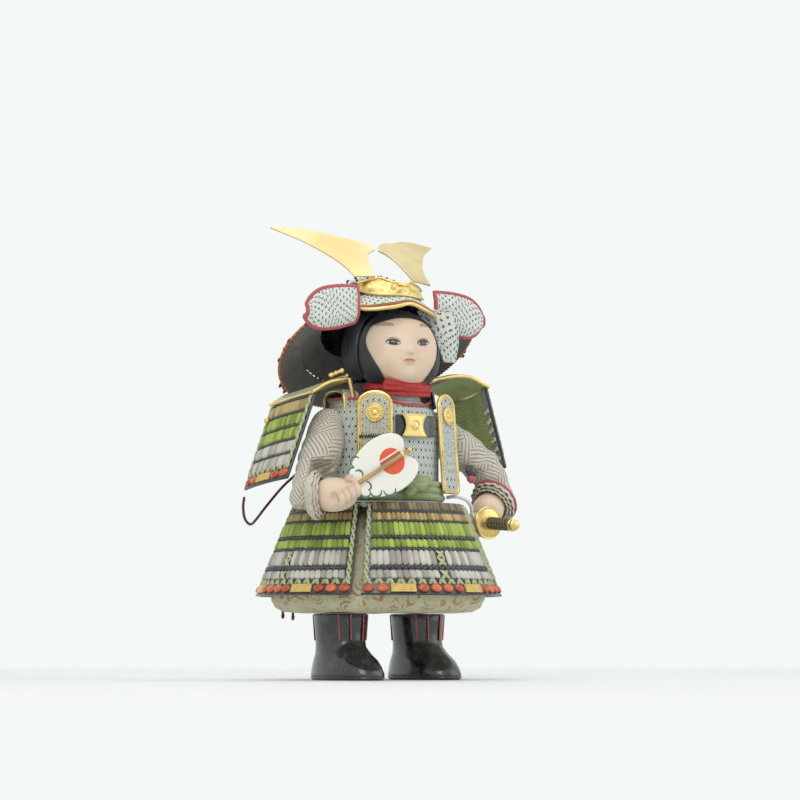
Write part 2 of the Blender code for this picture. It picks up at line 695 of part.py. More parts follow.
def build_head(doll, skin, black, red, white):
    head = doll.add("head", head_mesh("head"), skin, angle=60)
    boolean(head, doll.add_cutter("neck_form", neck_mesh("neck_form")), "UNION")
    head_space = doll.add_cutter("head_space", head_mesh("head_space", GAP))
    neck_space = doll.add_cutter("neck_space", neck_mesh("neck_space", GAP))

    facing = Matrix.Rotation(math.radians(HEAD_TURN), 3, "Z") @ Vector((0, -1, 0))
    tilt = Matrix.Rotation(math.radians(HELMET_ROLL), 3, "Y") @ Matrix.Rotation(
        math.radians(HELMET_TILT), 3, "X")
    rim_normal = tilt @ Vector((0, 0, 1))
    hair_mesh = ellipsoid("hair", HAIR_CENTRE, HAIR_RADII, 16, 10)
    hair_mesh = slice_off(hair_mesh, Vector((0, 0, HAIR_BOTTOM_Z)), Vector((0, 0, -1)))
    hair_mesh = slice_off(hair_mesh, HELMET_CENTRE - rim_normal * GAP, rim_normal)
    hair_mesh = slice_off(hair_mesh, HEAD_CENTRE + facing * HAIRLINE_FORWARD, facing)
    hair = doll.add("hair", hair_mesh, black, angle=50)
    boolean(hair, head_space, "DIFFERENCE")
    boolean(hair, neck_space, "DIFFERENCE")

    low, high = TRUNK_TOP_Z + GAP, TRUNK_TOP_Z + GAP + COLLAR_HEIGHT
    inner = NECK_RADIUS + 2 * MM
    profile = [(inner, high), (COLLAR_RADIUS - 5 * MM, high), (COLLAR_RADIUS, low + 2 * MM),
               (COLLAR_RADIUS, low), (inner, low), (inner, high)]
    turned(doll, "collar", profile, white, steps=20, location=(HEAD_CENTRE.x, NECK_Y, 0))

    scarf_z = high + GAP
    scarf_mesh = ellipsoid("neck_scarf", Vector((HEAD_CENTRE.x, NECK_Y - 5 * MM, scarf_z)),
                           SCARF_RADII, 14, 8)
    scarf_mesh = slice_off(scarf_mesh, Vector((0, 0, scarf_z)), Vector((0, 0, -1)))
    scarf_mesh = slice_off(scarf_mesh, Vector((0, 0, HAIR_BOTTOM_Z - GAP)), Vector((0, 0, 1)))
    scarf = doll.add("neck_scarf", scarf_mesh, red, angle=50)
    half, high_half = SCARF_BOW_HALF, SCARF_BOW_HEIGHT / 2
    bow_outline = [(half, high_half), (half * 1.02, -high_half), (0.3 * half, -0.75 * high_half),
                   (-0.3 * half, -0.75 * high_half), (-half * 1.02, -high_half), (-half, high_half),
                   (-0.25 * half, 0.6 * high_half), (0.25 * half, 0.6 * high_half)]
    bow = outline_plate("bow_form", bow_outline, 7 * MM)
    bow_y = NECK_Y - 5 * MM - SCARF_RADII.y + 1 * MM
    bow.transform(axes_matrix(Vector((0, bow_y, scarf_z + 2.6 * MM)), Vector((1, 0, 0)),
                              Vector((0, 0, 1))))
    boolean(scarf, doll.add_cutter("bow_form", bow), "UNION")
    boolean(scarf, head_space, "DIFFERENCE")
    boolean(scarf, neck_space, "DIFFERENCE")


# Helmet

def build_bowl(doll, black, gold):
    profile = [(0, 1.0), (0.12, 0.995), (0.3, 0.965), (0.5, 0.88), (0.7, 0.735), (0.86, 0.54),
               (0.96, 0.3), (1.0, 0.06), (1.0, 0.0), (0, 0.0)]
    scaled = [(r * BOWL_RADIUS, z * BOWL_HEIGHT) for r, z in profile]
    turned(doll, "helmet_bowl", scaled, black, doll.helmet, steps=20)
    seat = BOWL_HEIGHT + GAP
    knob = [(0, 0.86), (0.45, 0.74), (0.52, 0.4), (1, 0.14), (1, 0), (0, 0)]
    scaled = [(r * FINIAL_RADIUS, seat + z * FINIAL_RADIUS) for r, z in knob]
    turned(doll, "helmet_finial", scaled, gold, doll.helmet, steps=10)


def build_visor(doll, textile):
    """The brim over the brow, reaching forward and down, with its edge arched at the middle."""
    root = BOWL_RADIUS + GAP
    rings = []
    for i in range(13):
        share = i / 6 - 1
        angle = VISOR_ANGLE * share
        arch = VISOR_ARCH * max(0.0, 1 - (share / 0.4) ** 2)
        drop = VISOR_DROP * (1 - 0.35 * share ** 4) - arch
        reach = VISOR_REACH * (1 - 0.3 * share ** 2 - arch / VISOR_DROP)
        rings.append([polar(root, angle, HELMET_FIT_Z), polar(root + VISOR_THICKNESS, angle, HELMET_FIT_Z),
                      polar(root + VISOR_THICKNESS + reach, angle, -drop),
                      polar(root + reach, angle, -drop - 0.6 * MM)])
    doll.add("helmet_visor", loft("helmet_visor", rings), textile, doll.helmet)


def neck_guard_mesh(name, top, bottom, ribs, rib):
    """A wide ring, open in front, between two (radius, height) places in the helmet's frame."""
    columns = rib_columns(ribs)
    middle = ((top[0] + bottom[0]) / 2, (top[1] + bottom[1]) / 2)
    rings = []
    for share, relief in columns:
        angle = 180 + (share - 0.5) * 2 * NECK_GUARD_ANGLE
        lift = rib * relief
        rings.append([polar(top[0], angle, top[1]), polar(middle[0], angle, middle[1] + lift),
                      polar(bottom[0], angle, bottom[1] + 0.6 * lift),
                      polar(bottom[0], angle, bottom[1] - NECK_GUARD_THICKNESS),
                      polar(top[0], angle, top[1] - NECK_GUARD_THICKNESS)])
    return loft(name, rings)


def build_neck_guard(doll, lacing):
    lap = (NECK_GUARD_LAP_RADIUS, NECK_GUARD_LAP_Z)
    start = (BOWL_RADIUS + GAP, HELMET_FIT_Z)
    upper = neck_guard_mesh("neck_guard_upper", start, lap, 11, 1.0 * MM)
    doll.add("neck_guard_upper", upper, lacing, doll.helmet, 50)
    lower_start = (lap[0] + GAP, lap[1] - 0.6 * MM)
    rim = (NECK_GUARD_RIM_RADIUS, NECK_GUARD_RIM_Z)
    lower = neck_guard_mesh("neck_guard_lower", lower_start, rim, 15, 1.4 * MM)
    doll.add("neck_guard_lower", lower, lacing, doll.helmet, 50)


def build_turnback(doll, side, sign, textile):
    """One front end of the neck guard, turned back to face forward, with its lower edge rolled."""
    rings = []
    count = 8
    for i in range(count + 1):
        share = i / count
        x = TURNBACK_INNER_X + share * (TURNBACK_OUTER_X - TURNBACK_INNER_X)
        round_off = math.sqrt(max(0.0, 1 - max(0.0, (share - 0.62) / 0.42) ** 2))
        half = TURNBACK_HALF_HEIGHT * (0.86 + 0.14 * math.sin(math.pi * share)) * round_off
        middle = HELMET_CENTRE.z + TURNBACK_RISE - TURNBACK_FALL * share
        face = TURNBACK_FACE_Y - 1.2 * MM * math.sin(math.pi * share)
        thick = TURNBACK_THICKNESS
        ring = [(face + 1.6 * MM, half), (face, 0.45 * half), (face, -0.55 * half),
                (face + 3.5 * MM, -half), (face + 3.5 * MM + thick, -0.8 * half),
                (face + thick, -0.5 * half), (face + thick, 0.45 * half),
                (face + 1.6 * MM + thick, 0.9 * half)]
        rings.append([Vector((sign * x, y, middle + z)) for y, z in ring])
    doll.add(f"{side}_turnback", loft(f"{side}_turnback", rings), textile, angle=40)


def build_horn_plate(doll, gold):
    """The embossed crescent that holds the horns, standing on the brim, with tapering ends."""
    count = 18
    rings = []
    for i in range(count + 1):
        share = 2 * i / count - 1
        angle = PLATE_ANGLE * share
        top = PLATE_DIP + (PLATE_HORN_SEAT - PLATE_DIP) * min(1.0, abs(share) / 0.42) ** 2
        top -= PLATE_TIP_FALL * max(0.0, abs(share) - 0.62) ** 1.5
        lower = PLATE_BOTTOM + PLATE_TIP_RISE * abs(share) ** 3.2
        slope = VISOR_REACH / VISOR_DROP
        root = BOWL_RADIUS + VISOR_THICKNESS + GAP * 2 + slope * (HELMET_FIT_Z - lower)
        face = root + PLATE_THICKNESS
        rings.append([polar(root, angle, lower), polar(face, angle, lower),
                      polar(face + PLATE_LEAN, angle, top), polar(root + PLATE_LEAN, angle, top)])
    doll.add("horn_plate", loft("horn_plate", rings), gold, doll.helmet)


def build_horn(doll, side, sign, gold):
    """One tall blade: a long outer point, a short inner spur and a notch above its root."""
    outline = [(-7, -1), (8, -1), (9.5, 7), (12, 15), (18, 26), (30, 42), (46, 56.5), (30, 56), (16, 53),
               (4, 47), (-9, 41.5), (-16, 36), (-19.5, 30), (-14, 26.5), (-10.5, 21), (-8.5, 13), (-8, 6)]
    points = [(sign * x * MM, y * MM) for x, y in outline]
    blade = outline_plate(f"{side}_horn", points, HORN_THICKNESS)
    lean, sweep = math.radians(HORN_LEAN), math.radians(HORN_SWEEP)
    up = Vector((0, math.sin(lean), math.cos(lean)))
    across = Vector((math.cos(sweep), sign * math.sin(sweep), 0))
    blade.transform(axes_matrix(Vector((sign * HORN_BASE.x, HORN_BASE.y, HORN_BASE.z)), across, up))
    doll.add(f"{side}_horn", blade, gold, doll.helmet)


# Shoulder guards

def guard_strip(name, guard, profile, columns):
    """Rows of one shoulder guard: the section is swept from front to back with a slight bow."""
    top, bottom = profile[0][0], profile[-1][0]
    slope = (guard.hem_x - guard.top_x) / (guard.top_z - guard.hem_z)
    rings = []
    for share, relief in columns:
        y = (guard.front_y + share * (guard.back_y - guard.front_y)) * MM
        face = guard.top_x * MM + GUARD_BOW * (1 - (2 * share - 1) ** 2)
        section = [(z, out * relief) for z, out in profile] + [(bottom, -GUARD_PLATE), (top, -GUARD_PLATE)]
        rings.append([Vector((guard.sign * (face + (guard.top_z * MM - z) * slope + out), y,
                              z - guard.drop * MM * share)) for z, out in section])
    return loft(name, rings)


def crown_mesh(name, guard):
    """The plate that curves from the shoulder strap over to the guard's first row."""
    path = [Vector(point) * MM for point in guard.crown]
    rings = []
    for i, low in enumerate(path):
        along = (path[min(i + 1, len(path) - 1)] - path[max(i - 1, 0)]).normalized()
        high = low + Vector((-along.y, along.x)) * (CROWN_THICKNESS if i else CROWN_END)
        corners = ((low, guard.front_y, 0), (high, guard.front_y, 0), (high, guard.back_y, guard.drop),
                   (low, guard.back_y, guard.drop))
        rings.append([Vector((guard.sign * point.x, y * MM, point.y - fall * MM))
                      for point, y, fall in corners])
    return loft(name, rings)


def build_shoulder_guard(doll, side, guard, lacing, board_material, textile):
    top, hem = guard.top_z * MM, guard.hem_z * MM
    board_top = hem + GUARD_BOARD_HEIGHT
    pitch = (top - board_top - GAP) / GUARD_ROWS
    levels = [top - i * pitch for i in range(GUARD_ROWS + 1)]
    rows = guard_strip(f"{side}_shoulder_rows", guard, row_profile(levels, GUARD_RIB_HEIGHT),
                       rib_columns(GUARD_RIBS))
    doll.add(f"{side}_shoulder_rows", rows, lacing, angle=50)
    board = guard_strip(f"{side}_shoulder_board", guard, board_profile(board_top, hem, GUARD_BEAD_HEIGHT),
                        bead_columns(GUARD_BEADS))
    doll.add(f"{side}_shoulder_board", board, board_material, angle=50)
    crown = crown_mesh(f"{side}_shoulder_crown", guard)
    doll.add(f"{side}_shoulder_crown", crown, textile)


# Arms

def sleeve_with_hand(doll, side, arm, trunk, cloth, cuff_cloth, skin):
    """A wide sleeve cut square at the wrist, the gathered cuff beyond it and the closed hand."""
    wrist = arm.wrist * MM
    axis = arm.direction.normalized()
    place = Matrix.Translation(wrist) @ axis.to_track_quat("Z", "Y").to_matrix().to_4x4()
    points = [vec(x, y, z) for x, y, z, _ in arm.sleeve]
    radii = [radius * MM for _, _, _, radius in arm.sleeve]
    sleeve = doll.add(f"{side}_sleeve", tube(f"{side}_sleeve", points, radii, 3), cloth, angle=60)
    reach = Vector((1, 1, 0)) * (CUFF_OUTER_RADIUS + 3 * MM)
    opening = box(f"{side}_wrist_space", -reach, reach + Vector((0, 0, 30 * MM)))
    opening.transform(place @ Matrix.Translation((0, 0, -GAP)))
    boolean(sleeve, trunk, "DIFFERENCE")
    boolean(sleeve, doll.add_cutter(f"{side}_wrist_space", opening), "DIFFERENCE")
    cuff = cuff_mesh(f"{side}_cuff")
    cuff.transform(place)
    doll.add(f"{side}_cuff", cuff, cuff_cloth, angle=60)
    palm = ellipsoid(f"{side}_hand", Vector((0, 0, arm.palm_shift)) * MM, arm.palm * MM, 12, 8)
    palm.transform(place)
    return doll.add(f"{side}_hand", slice_off(palm, wrist, -axis), skin, angle=60)


def cuff_mesh(name):
    """A gathered ring of cloth, standing along Z from the wrist."""
    sections = ((CUFF_INNER_RADIUS, 0.0, 0.0), (CUFF_OUTER_RADIUS - 1.5 * MM, 0.0, 0.4),
                (CUFF_OUTER_RADIUS, 0.5, 1.0), (CUFF_OUTER_RADIUS - 0.5 * MM, 1.0, 1.0),
                (CUFF_INNER_RADIUS, 0.9, 0.0))
    count = CUFF_GATHERS * 2
    shape = bmesh.new()
    loops = []
    for i in range(count):
        side = 1 if i % 2 else -1
        loops.append([shape.verts.new(polar(radius + CUFF_GATHER * gather * side, 360 * i / count,
                                            along * CUFF_LENGTH))
                      for radius, along, gather in sections])
    for a, b in zip(loops, loops[1:] + loops[:1]):
        for i in range(len(a)):
            j = (i + 1) % len(a)
            shape.faces.new((a[i], a[j], b[j], b[i]))
    return mesh_from(name, shape)


# Fan and sword

def fan_frame(lift=0.0):
    side = FAN_FACE.cross(FAN_DIRECTION)
    return axes_matrix(FAN_BASE + FAN_FACE.normalized() * lift, FAN_DIRECTION, side)


def build_fan(doll, lacquer, wood):
    """A two-lobed war fan with its shaft laid down the middle of the face."""
    half = [(41, 0), (44, 3.5), (46.5, 8), (45, 13), (39, 17), (30, 18.8), (20, 18.2), (10, 15), (2, 10),
            (-3, 5)]
    outline = half + [(x, -y) for x, y in reversed(half[1:])]
    blade = outline_plate("fan_blade", [(x * MM, y * MM) for x, y in outline], FAN_THICKNESS)
    blade.transform(fan_frame())
    doll.add("fan_blade", blade, lacquer)
    lift = FAN_THICKNESS / 2 + GAP + FAN_SHAFT_RADIUS
    frame = fan_frame(lift)
    start = frame @ Vector((FAN_SHAFT_BUTT, 0, 0))
    end = frame @ Vector((FAN_SHAFT_TIP, 0, 0))
    doll.add("fan_shaft", rod("fan_shaft", start, end, FAN_SHAFT_RADIUS, sides=10), wood)
    room = rod("fan_shaft_space", start - (end - start).normalized() * GAP, end,
               FAN_SHAFT_RADIUS + GAP, sides=10)
    blade_room = outline_plate("fan_blade_space", [((x - 1) * MM, y * 1.04 * MM) for x, y in outline],
                               FAN_THICKNESS + 2 * GAP)
    blade_room.transform(fan_frame())
    return [doll.add_cutter("fan_shaft_space", room), doll.add_cutter("fan_blade_space", blade_room)]


def build_sword(doll, gold, grip_wrap, lacquer):
    """Guard disc, wrapped grip, pommel and the curved scabbard behind them."""
    forward = Vector((0, -1, 0))
    back_face = SWORD_CENTRE - forward * SWORD_GUARD_THICKNESS / 2
    front_face = SWORD_CENTRE + forward * SWORD_GUARD_THICKNESS / 2
    doll.add("sword_guard", rod("sword_guard", back_face, front_face, SWORD_GUARD_RADIUS, sides=24), gold)
    grip_start = front_face + forward * GAP
    grip_end = grip_start + forward * GRIP_LENGTH + Vector((0, 0, -2 * MM))
    doll.add("sword_grip", rod("sword_grip", grip_start, grip_end, GRIP_RADIUS, GRIP_RADIUS * 0.92, 12),
             grip_wrap)
    hilt = (grip_end - grip_start).normalized()
    pommel_start = grip_end + hilt * GAP
    doll.add("sword_pommel", rod("sword_pommel", pommel_start, pommel_start + hilt * POMMEL_LENGTH,
                                 GRIP_RADIUS * 1.12, GRIP_RADIUS * 0.7, 12), gold)
    mouth = back_face - forward * GAP
    route = [mouth, mouth + vec(0.6, 22, -1.6), mouth + vec(2.4, 52, -1.6), mouth + vec(4.4, 88, 3)]
    path = smooth_path(route, 11 * MM)
    radii = [SCABBARD_RADIUS * (1 - 0.18 * i / (len(path) - 1)) for i in range(len(path))]
    doll.add("scabbard", tube("scabbard", path, radii), lacquer, angle=50)
    grown = [r + GAP for r in radii]
    room = tube("scabbard_space", path, grown)
    disc_room = rod("sword_guard_space", back_face - forward * GAP, front_face + forward * GAP,
                    SWORD_GUARD_RADIUS + GAP, sides=24)
    grip_room = rod("sword_grip_space", front_face, grip_end, GRIP_RADIUS + GAP, sides=12)
    return [doll.add_cutter("scabbard_space", room), doll.add_cutter("sword_guard_space", disc_room),
            doll.add_cutter("sword_grip_space", grip_room)]


# Bow and cords

def build_back_bow(doll, cord_red):
    """The flat knotted bow at the middle of the back, with a loop each side."""
    quarter = [(0, 9), (3, 5), (5, 3.5), (13, 7), (18, 4), (19, 0)]
    right = quarter + [(18, -4), (13, -7), (5, -3.5), (3, -6)]
    outline = [(x * MM, y * MM) for x, y in right] + [(-x * MM, y * MM) for x, y in reversed(right[1:])]
    bow = outline_plate("back_bow", outline, 3 * MM)
    back = Vector((0, TRUNK_RADIUS + GAP + 1.5 * MM, 150 * MM))
    bow.transform(axes_matrix(back, Vector((1, 0, 0)), Vector((0, 0, 1))))
    doll.add("back_bow", bow, cord_red)


def build_cords(doll, cord_red, white):
    """Thin silk cords: two ends from the bow, one from the right guard and the sword's loop."""
    routes = {
        "back_cord_right": [vec(-1.7, 41.9, 143.7), vec(-3.4, 44.6, 136), vec(-8, 56, 121.5),
                            vec(-11, 66, 104), vec(-15, 76.5, 82), vec(-18, 85, 62), vec(-19, 87, 51),
                            vec(-19.3, 87, 41)],
        "back_cord_left": [vec(1.7, 41.9, 143.7), vec(1.3, 44.6, 136), vec(-1, 56.5, 121.5),
                           vec(-4, 67, 104), vec(-7, 78, 82), vec(-9, 87, 62), vec(-9.6, 89, 51),
                           vec(-9.8, 89, 40)],
        "shoulder_cord": [vec(-83, 36, 120.7), vec(-83.6, 36.5, 114), vec(-81, 38.5, 106.5),
                          vec(-74, 43, 103), vec(-66, 49, 106), vec(-54, 54, 116), vec(-40, 52.5, 131),
                          vec(-24, 47.5, 145), vec(-19.7, 43, 149.5)],
        "sword_cord": [vec(36.4, -26.5, 121), vec(42, -30.6, 121.6), vec(48, -33.5, 119.3),
                       vec(51.8, -33.8, 114.8), vec(54, -31.5, 110.5), vec(57.5, -29.5, 107.5),
                       vec(61.2, -28.6, 106.2)],
    }
    for name, route in routes.items():
        radius = SWORD_CORD_RADIUS if name == "sword_cord" else CORD_RADIUS
        path = smooth_path(route, radius * 2 * 2.6)
        material = white if name == "sword_cord" else cord_red
        doll.add(name, tube(name, path, [radius] * len(path), 2), material, angle=60)


def main():
    for obj in list(bpy.data.objects):
        bpy.data.objects.remove(obj, do_unlink=True)
    doll = Doll()
    look = {name: make_material(name, *values) for name, values in LOOKS.items()}
    gold, textile, beads = look["gold"], look["patterned_cloth"], look["bead_board"]

    build_legs(doll, look["black_lacquer"], look["brocade"])
    build_skirt(doll, (look["green_lacing"], look["white_lacing"]), beads)
    build_trunk(doll, textile, look["sash_green"], look["black_lacquer"], gold)
    build_chest_guard(doll, "right", RIGHT_GUARD_ANGLE, 0.0, RIGHT_GUARD_BOTTOM_Z, textile, gold)
    build_chest_guard(doll, "left", LEFT_GUARD_ANGLE, LEFT_GUARD_SHIFT, LEFT_GUARD_BOTTOM_Z, textile, gold)
    build_head(doll, look["skin"], look["hair"], look["red_cloth"], look["white_cloth"])
    build_bowl(doll, look["black_lacquer"], gold)
    build_visor(doll, textile)
    build_neck_guard(doll, textile)
    build_turnback(doll, "right", -1, textile)
    build_turnback(doll, "left", 1, textile)
    build_horn_plate(doll, gold)
    build_horn(doll, "right", -1, look["pale_gold"])
    build_horn(doll, "left", 1, look["pale_gold"])

    build_shoulder_guard(doll, "right", RIGHT_GUARD, look["green_lacing"], beads, textile)
    build_shoulder_guard(doll, "left", LEFT_GUARD, look["green_lacing"], beads, textile)

    trunk = trunk_space(doll)
    cloths = (look["sleeve_cloth"], look["cuff_cloth"], look["skin"])
    right_hand = sleeve_with_hand(doll, "right", RIGHT_ARM, trunk, *cloths)
    left_hand = sleeve_with_hand(doll, "left", LEFT_ARM, trunk, *cloths)
    for space in build_fan(doll, look["fan_lacquer"], look["fan_wood"]):
        boolean(right_hand, space, "DIFFERENCE")
    for space in build_sword(doll, gold, look["grip_wrap"], look["black_lacquer"]):
        boolean(left_hand, space, "DIFFERENCE")
    build_back_bow(doll, look["cord_red"])
    build_cords(doll, look["cord_red"], look["white_cloth"])


main()
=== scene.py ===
import random
from math import copysign, cos, exp, pi, radians, sin, sqrt

import bpy
from mathutils import Matrix, Vector, noise
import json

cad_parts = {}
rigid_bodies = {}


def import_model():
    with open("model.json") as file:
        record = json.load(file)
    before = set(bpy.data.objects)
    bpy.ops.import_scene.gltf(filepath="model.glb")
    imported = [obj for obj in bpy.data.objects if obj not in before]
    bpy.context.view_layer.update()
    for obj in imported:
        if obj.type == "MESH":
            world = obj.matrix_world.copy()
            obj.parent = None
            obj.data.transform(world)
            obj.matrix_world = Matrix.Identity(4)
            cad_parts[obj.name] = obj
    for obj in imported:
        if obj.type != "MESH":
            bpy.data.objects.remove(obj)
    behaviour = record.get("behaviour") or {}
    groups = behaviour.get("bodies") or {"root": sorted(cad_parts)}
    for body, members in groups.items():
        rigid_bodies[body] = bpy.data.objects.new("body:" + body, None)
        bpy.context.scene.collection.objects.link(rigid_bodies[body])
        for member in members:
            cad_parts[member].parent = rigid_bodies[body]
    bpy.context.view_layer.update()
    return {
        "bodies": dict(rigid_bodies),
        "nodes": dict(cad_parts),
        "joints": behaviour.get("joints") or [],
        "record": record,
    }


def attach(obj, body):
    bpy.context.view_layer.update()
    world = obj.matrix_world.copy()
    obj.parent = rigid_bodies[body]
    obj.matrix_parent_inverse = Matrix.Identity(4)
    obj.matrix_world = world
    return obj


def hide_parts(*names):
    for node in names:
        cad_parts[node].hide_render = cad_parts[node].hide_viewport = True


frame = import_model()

# Frames. Points are given in millimetres in one of these, as in the part's source.
MM = Matrix.Scale(0.001, 4)
AXIS = Vector((-7.21, 0, 0))
BODY = MM @ Matrix.Translation(AXIS)
HELMET = (BODY @ Matrix.Translation((0, 10, 236)) @ Matrix.Rotation(radians(2.2), 4, "Y")
          @ Matrix.Rotation(radians(-33), 4, "X"))


def V(*xyz):
    return Vector(xyz)


def polar(radius, angle, z):
    """A point round the axis: angle 0 is the doll's front, positive towards its left hand."""
    turn = radians(angle)
    return V(radius * sin(turn), -radius * cos(turn), z)


def lerp(a, b, t):
    return a + (b - a) * t


def turns(count):
    """Angles evenly spaced round a circle."""
    return [2 * pi * k / count for k in range(count)]


def shares(steps):
    """Numbers evenly spaced from 0 to 1."""
    return [i / steps for i in range(steps + 1)]


def smooth_path(points, count, closed=False):
    """Points evenly spaced along a smooth curve through the given ones."""
    pts = [Vector(p) for p in points]
    if closed:
        ends = [pts[-1]] + pts + [pts[0], pts[1]]
    else:
        ends = [pts[0] * 2 - pts[1]] + pts + [pts[-1] * 2 - pts[-2]]
    dense = []
    for a, b, c, d in zip(ends, ends[1:], ends[2:], ends[3:]):
        for i in range(16):
            t = i / 16
            dense.append(0.5 * (2 * b + (c - a) * t + (2 * a - 5 * b + 4 * c - d) * t * t
                                + (3 * b - a - 3 * c + d) * t ** 3))
    dense.append(dense[0].copy() if closed else pts[-1])
    steps = [(q - p).length for p, q in zip(dense, dense[1:])]
    total, chosen, travelled, i = sum(steps), [], 0.0, 0
    for k in range(count if closed else count - 1):
        want = total * k / (count if closed else count - 1)
        while travelled + steps[i] < want - 1e-9:
            travelled += steps[i]
            i += 1
        chosen.append(dense[i].lerp(dense[i + 1], (want - travelled) / max(steps[i], 1e-9)))
    if not closed:
        chosen.append(dense[-1])
    return chosen


def axes_matrix(origin, x_axis, y_axis):
    """A frame with its origin, its X and Y directions and the Z that follows from them."""
    x = Vector(x_axis).normalized()
    z = x.cross(Vector(y_axis)).normalized()
    y = z.cross(x)
    return Matrix.Translation(origin) @ Matrix((x, y, z)).transposed().to_4x4()


def add_object(name, data):
    obj = bpy.data.objects.new(name, data)
    bpy.context.scene.collection.objects.link(obj)
    return obj


class Shape:
    """A mesh being put together from lofts, grids, tubes and balls, with UVs in decimetres."""

    def __init__(self, space=BODY):
        self.space = space
        self.verts, self.faces, self.uvs, self.slots, self.tones = [], [], [], [], []

    def grid(self, rows, slot=0, tone=0.5, wrap=False, uv=None, flip=False):
        """Quads over rows of points. UVs follow the middle row's and column's lengths."""
        start, wide, high = len(self.verts), len(rows[0]), len(rows)
        self.verts += [p for row in rows for p in row]
        self.tones += [tone] * (wide * high)
        us, vs = [0.0], [0.0]
        middle = rows[high // 2]
        for i in range(wide if wrap else wide - 1):
            us.append(us[-1] + (middle[(i + 1) % wide] - middle[i]).length / 100)
        for a, b in zip(rows, rows[1:]):
            vs.append(vs[-1] + (b[wide // 2] - a[wide // 2]).length / 100)
        if uv:
            us = [uv[0] + u for u in us]
            vs = [uv[1] + v for v in vs]
        for i in range(high - 1):
            for j in range(wide if wrap else wide - 1):
                k = (j + 1) % wide
                quad = [start + i * wide + j, start + i * wide + k,
                        start + (i + 1) * wide + k, start + (i + 1) * wide + j]
                spots = [(us[j], vs[i]), (us[j + 1], vs[i]), (us[j + 1], vs[i + 1]), (us[j], vs[i + 1])]
                self.face(quad[::-1] if flip else quad, spots[::-1] if flip else spots, slot)

    def face(self, corners, spots, slot=0):
        self.faces.append(corners)
        self.uvs.append(spots)
        self.slots.append(slot)

    def loft(self, rings, slot=0, tone=0.5, caps=True, flip=False):
        """A closed skin through rings of equal point count."""
        start, wide = len(self.verts), len(rings[0])
        self.grid(rings, slot, tone, wrap=True, flip=flip)
        if caps:
            for row, back in ((0, not flip), (len(rings) - 1, flip)):
                ids = [start + row * wide + i for i in range(wide)]
                spots = [(rings[row][i].x / 100, rings[row][i].z / 100) for i in range(wide)]
                self.face(ids[::-1] if back else ids, spots[::-1] if back else spots, slot)

    def tube(self, path, radius, slot=0, tone=0.5, sides=8, closed=False, flat=1.0, up=None):
        """A round or flattened tube along points. radius is a number or one for each point."""
        count = len(path)
        radii = radius if isinstance(radius, (list, tuple)) else [radius] * count
        rings, side = [], None
        for i, p in enumerate(path):
            a = path[(i - 1) % count] if closed or i else p
            b = path[(i + 1) % count] if closed or i < count - 1 else p
            along = (b - a).normalized()
            if up is not None:
                side = along.cross(Vector(up)).normalized()
            elif side is None:
                side = along.orthogonal().normalized()
            else:
                side = (side - along * side.dot(along)).normalized()
            over = side.cross(along)
            rings.append([p + (side * cos(t) + over * sin(t) * flat) * radii[i]
                          for t in turns(sides)])
        if closed:
            shift = min(range(sides), key=lambda k: (rings[-1][0] - rings[0][k]).length)
            rings.append(rings[0][shift:] + rings[0][:shift])
        self.loft(rings, slot, tone, caps=not closed, flip=True)

    def ball(self, centre, radii, slot=0, tone=0.5, axes=None, segments=12, rings=7):
        """An ellipsoid. axes is a rotation matrix."""
        turn = axes or Matrix.Identity(3)
        start = len(self.verts)
        rows = []
        for i in range(1, rings):
            a = pi * i / rings
            rows.append([Vector(centre) + turn @ V(radii[0] * sin(a) * cos(b),
                                                  radii[1] * sin(a) * sin(b),
                                                  radii[2] * cos(a))
                         for b in turns(segments)])
        self.grid(rows, slot, tone, wrap=True, flip=True)
        for row, height, last in ((0, radii[2], False), (rings - 2, -radii[2], True)):
            tip = len(self.verts)
            self.verts.append(Vector(centre) + turn @ V(0, 0, height))
            self.tones.append(tone)
            for j in range(segments):
                a, b = start + row * segments + j, start + row * segments + (j + 1) % segments
                self.face([b, a, tip] if last else [a, b, tip], [(0, 0), (0.01, 0), (0, 0.01)], slot)

    def slab(self, at, spans, levels, out, thick, slot=0, back_slot=None):
        """A closed board over a surface, out from it on its face and thick behind."""
        face = [[at(s, z, out) for s in spans] for z in levels]
        back = [[at(s, z, out - thick) for s in spans] for z in levels]
        self.grid(face, slot, flip=True)
        self.grid(back, slot if back_slot is None else back_slot)
        rim = lambda a: [a[0], [row[-1] for row in a], a[-1][::-1], [row[0] for row in a][::-1]]
        for front_edge, back_edge in zip(rim(face), rim(back)):
            self.grid([front_edge, back_edge], slot)

    def build(self, name, materials, replaces=(), crisp=40, subdivide=0):
        """The finished piece, riding on the doll's one body."""
        mesh = bpy.data.meshes.new(name)
        mesh.from_pydata([self.space @ p for p in self.verts], [], self.faces)
        layer = mesh.uv_layers.new(name="UVMap")
        layer.data.foreach_set("uv", [x for spots in self.uvs for uv in spots for x in uv])
        mesh.polygons.foreach_set("material_index", self.slots)
        tone = mesh.attributes.new("tone", "FLOAT", "POINT")
        tone.data.foreach_set("value", self.tones)
        for material in materials:
            mesh.materials.append(material)
        mesh.validate()
        mesh.shade_smooth()
        mesh.set_sharp_from_angle(angle=radians(crisp))
        obj = add_object(name, mesh)
        if subdivide:
            change = obj.modifiers.new("soft", "SUBSURF")
            change.levels = change.render_levels = subdivide
        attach(obj, "root")
        if replaces:
            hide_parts(*replaces)
        return obj


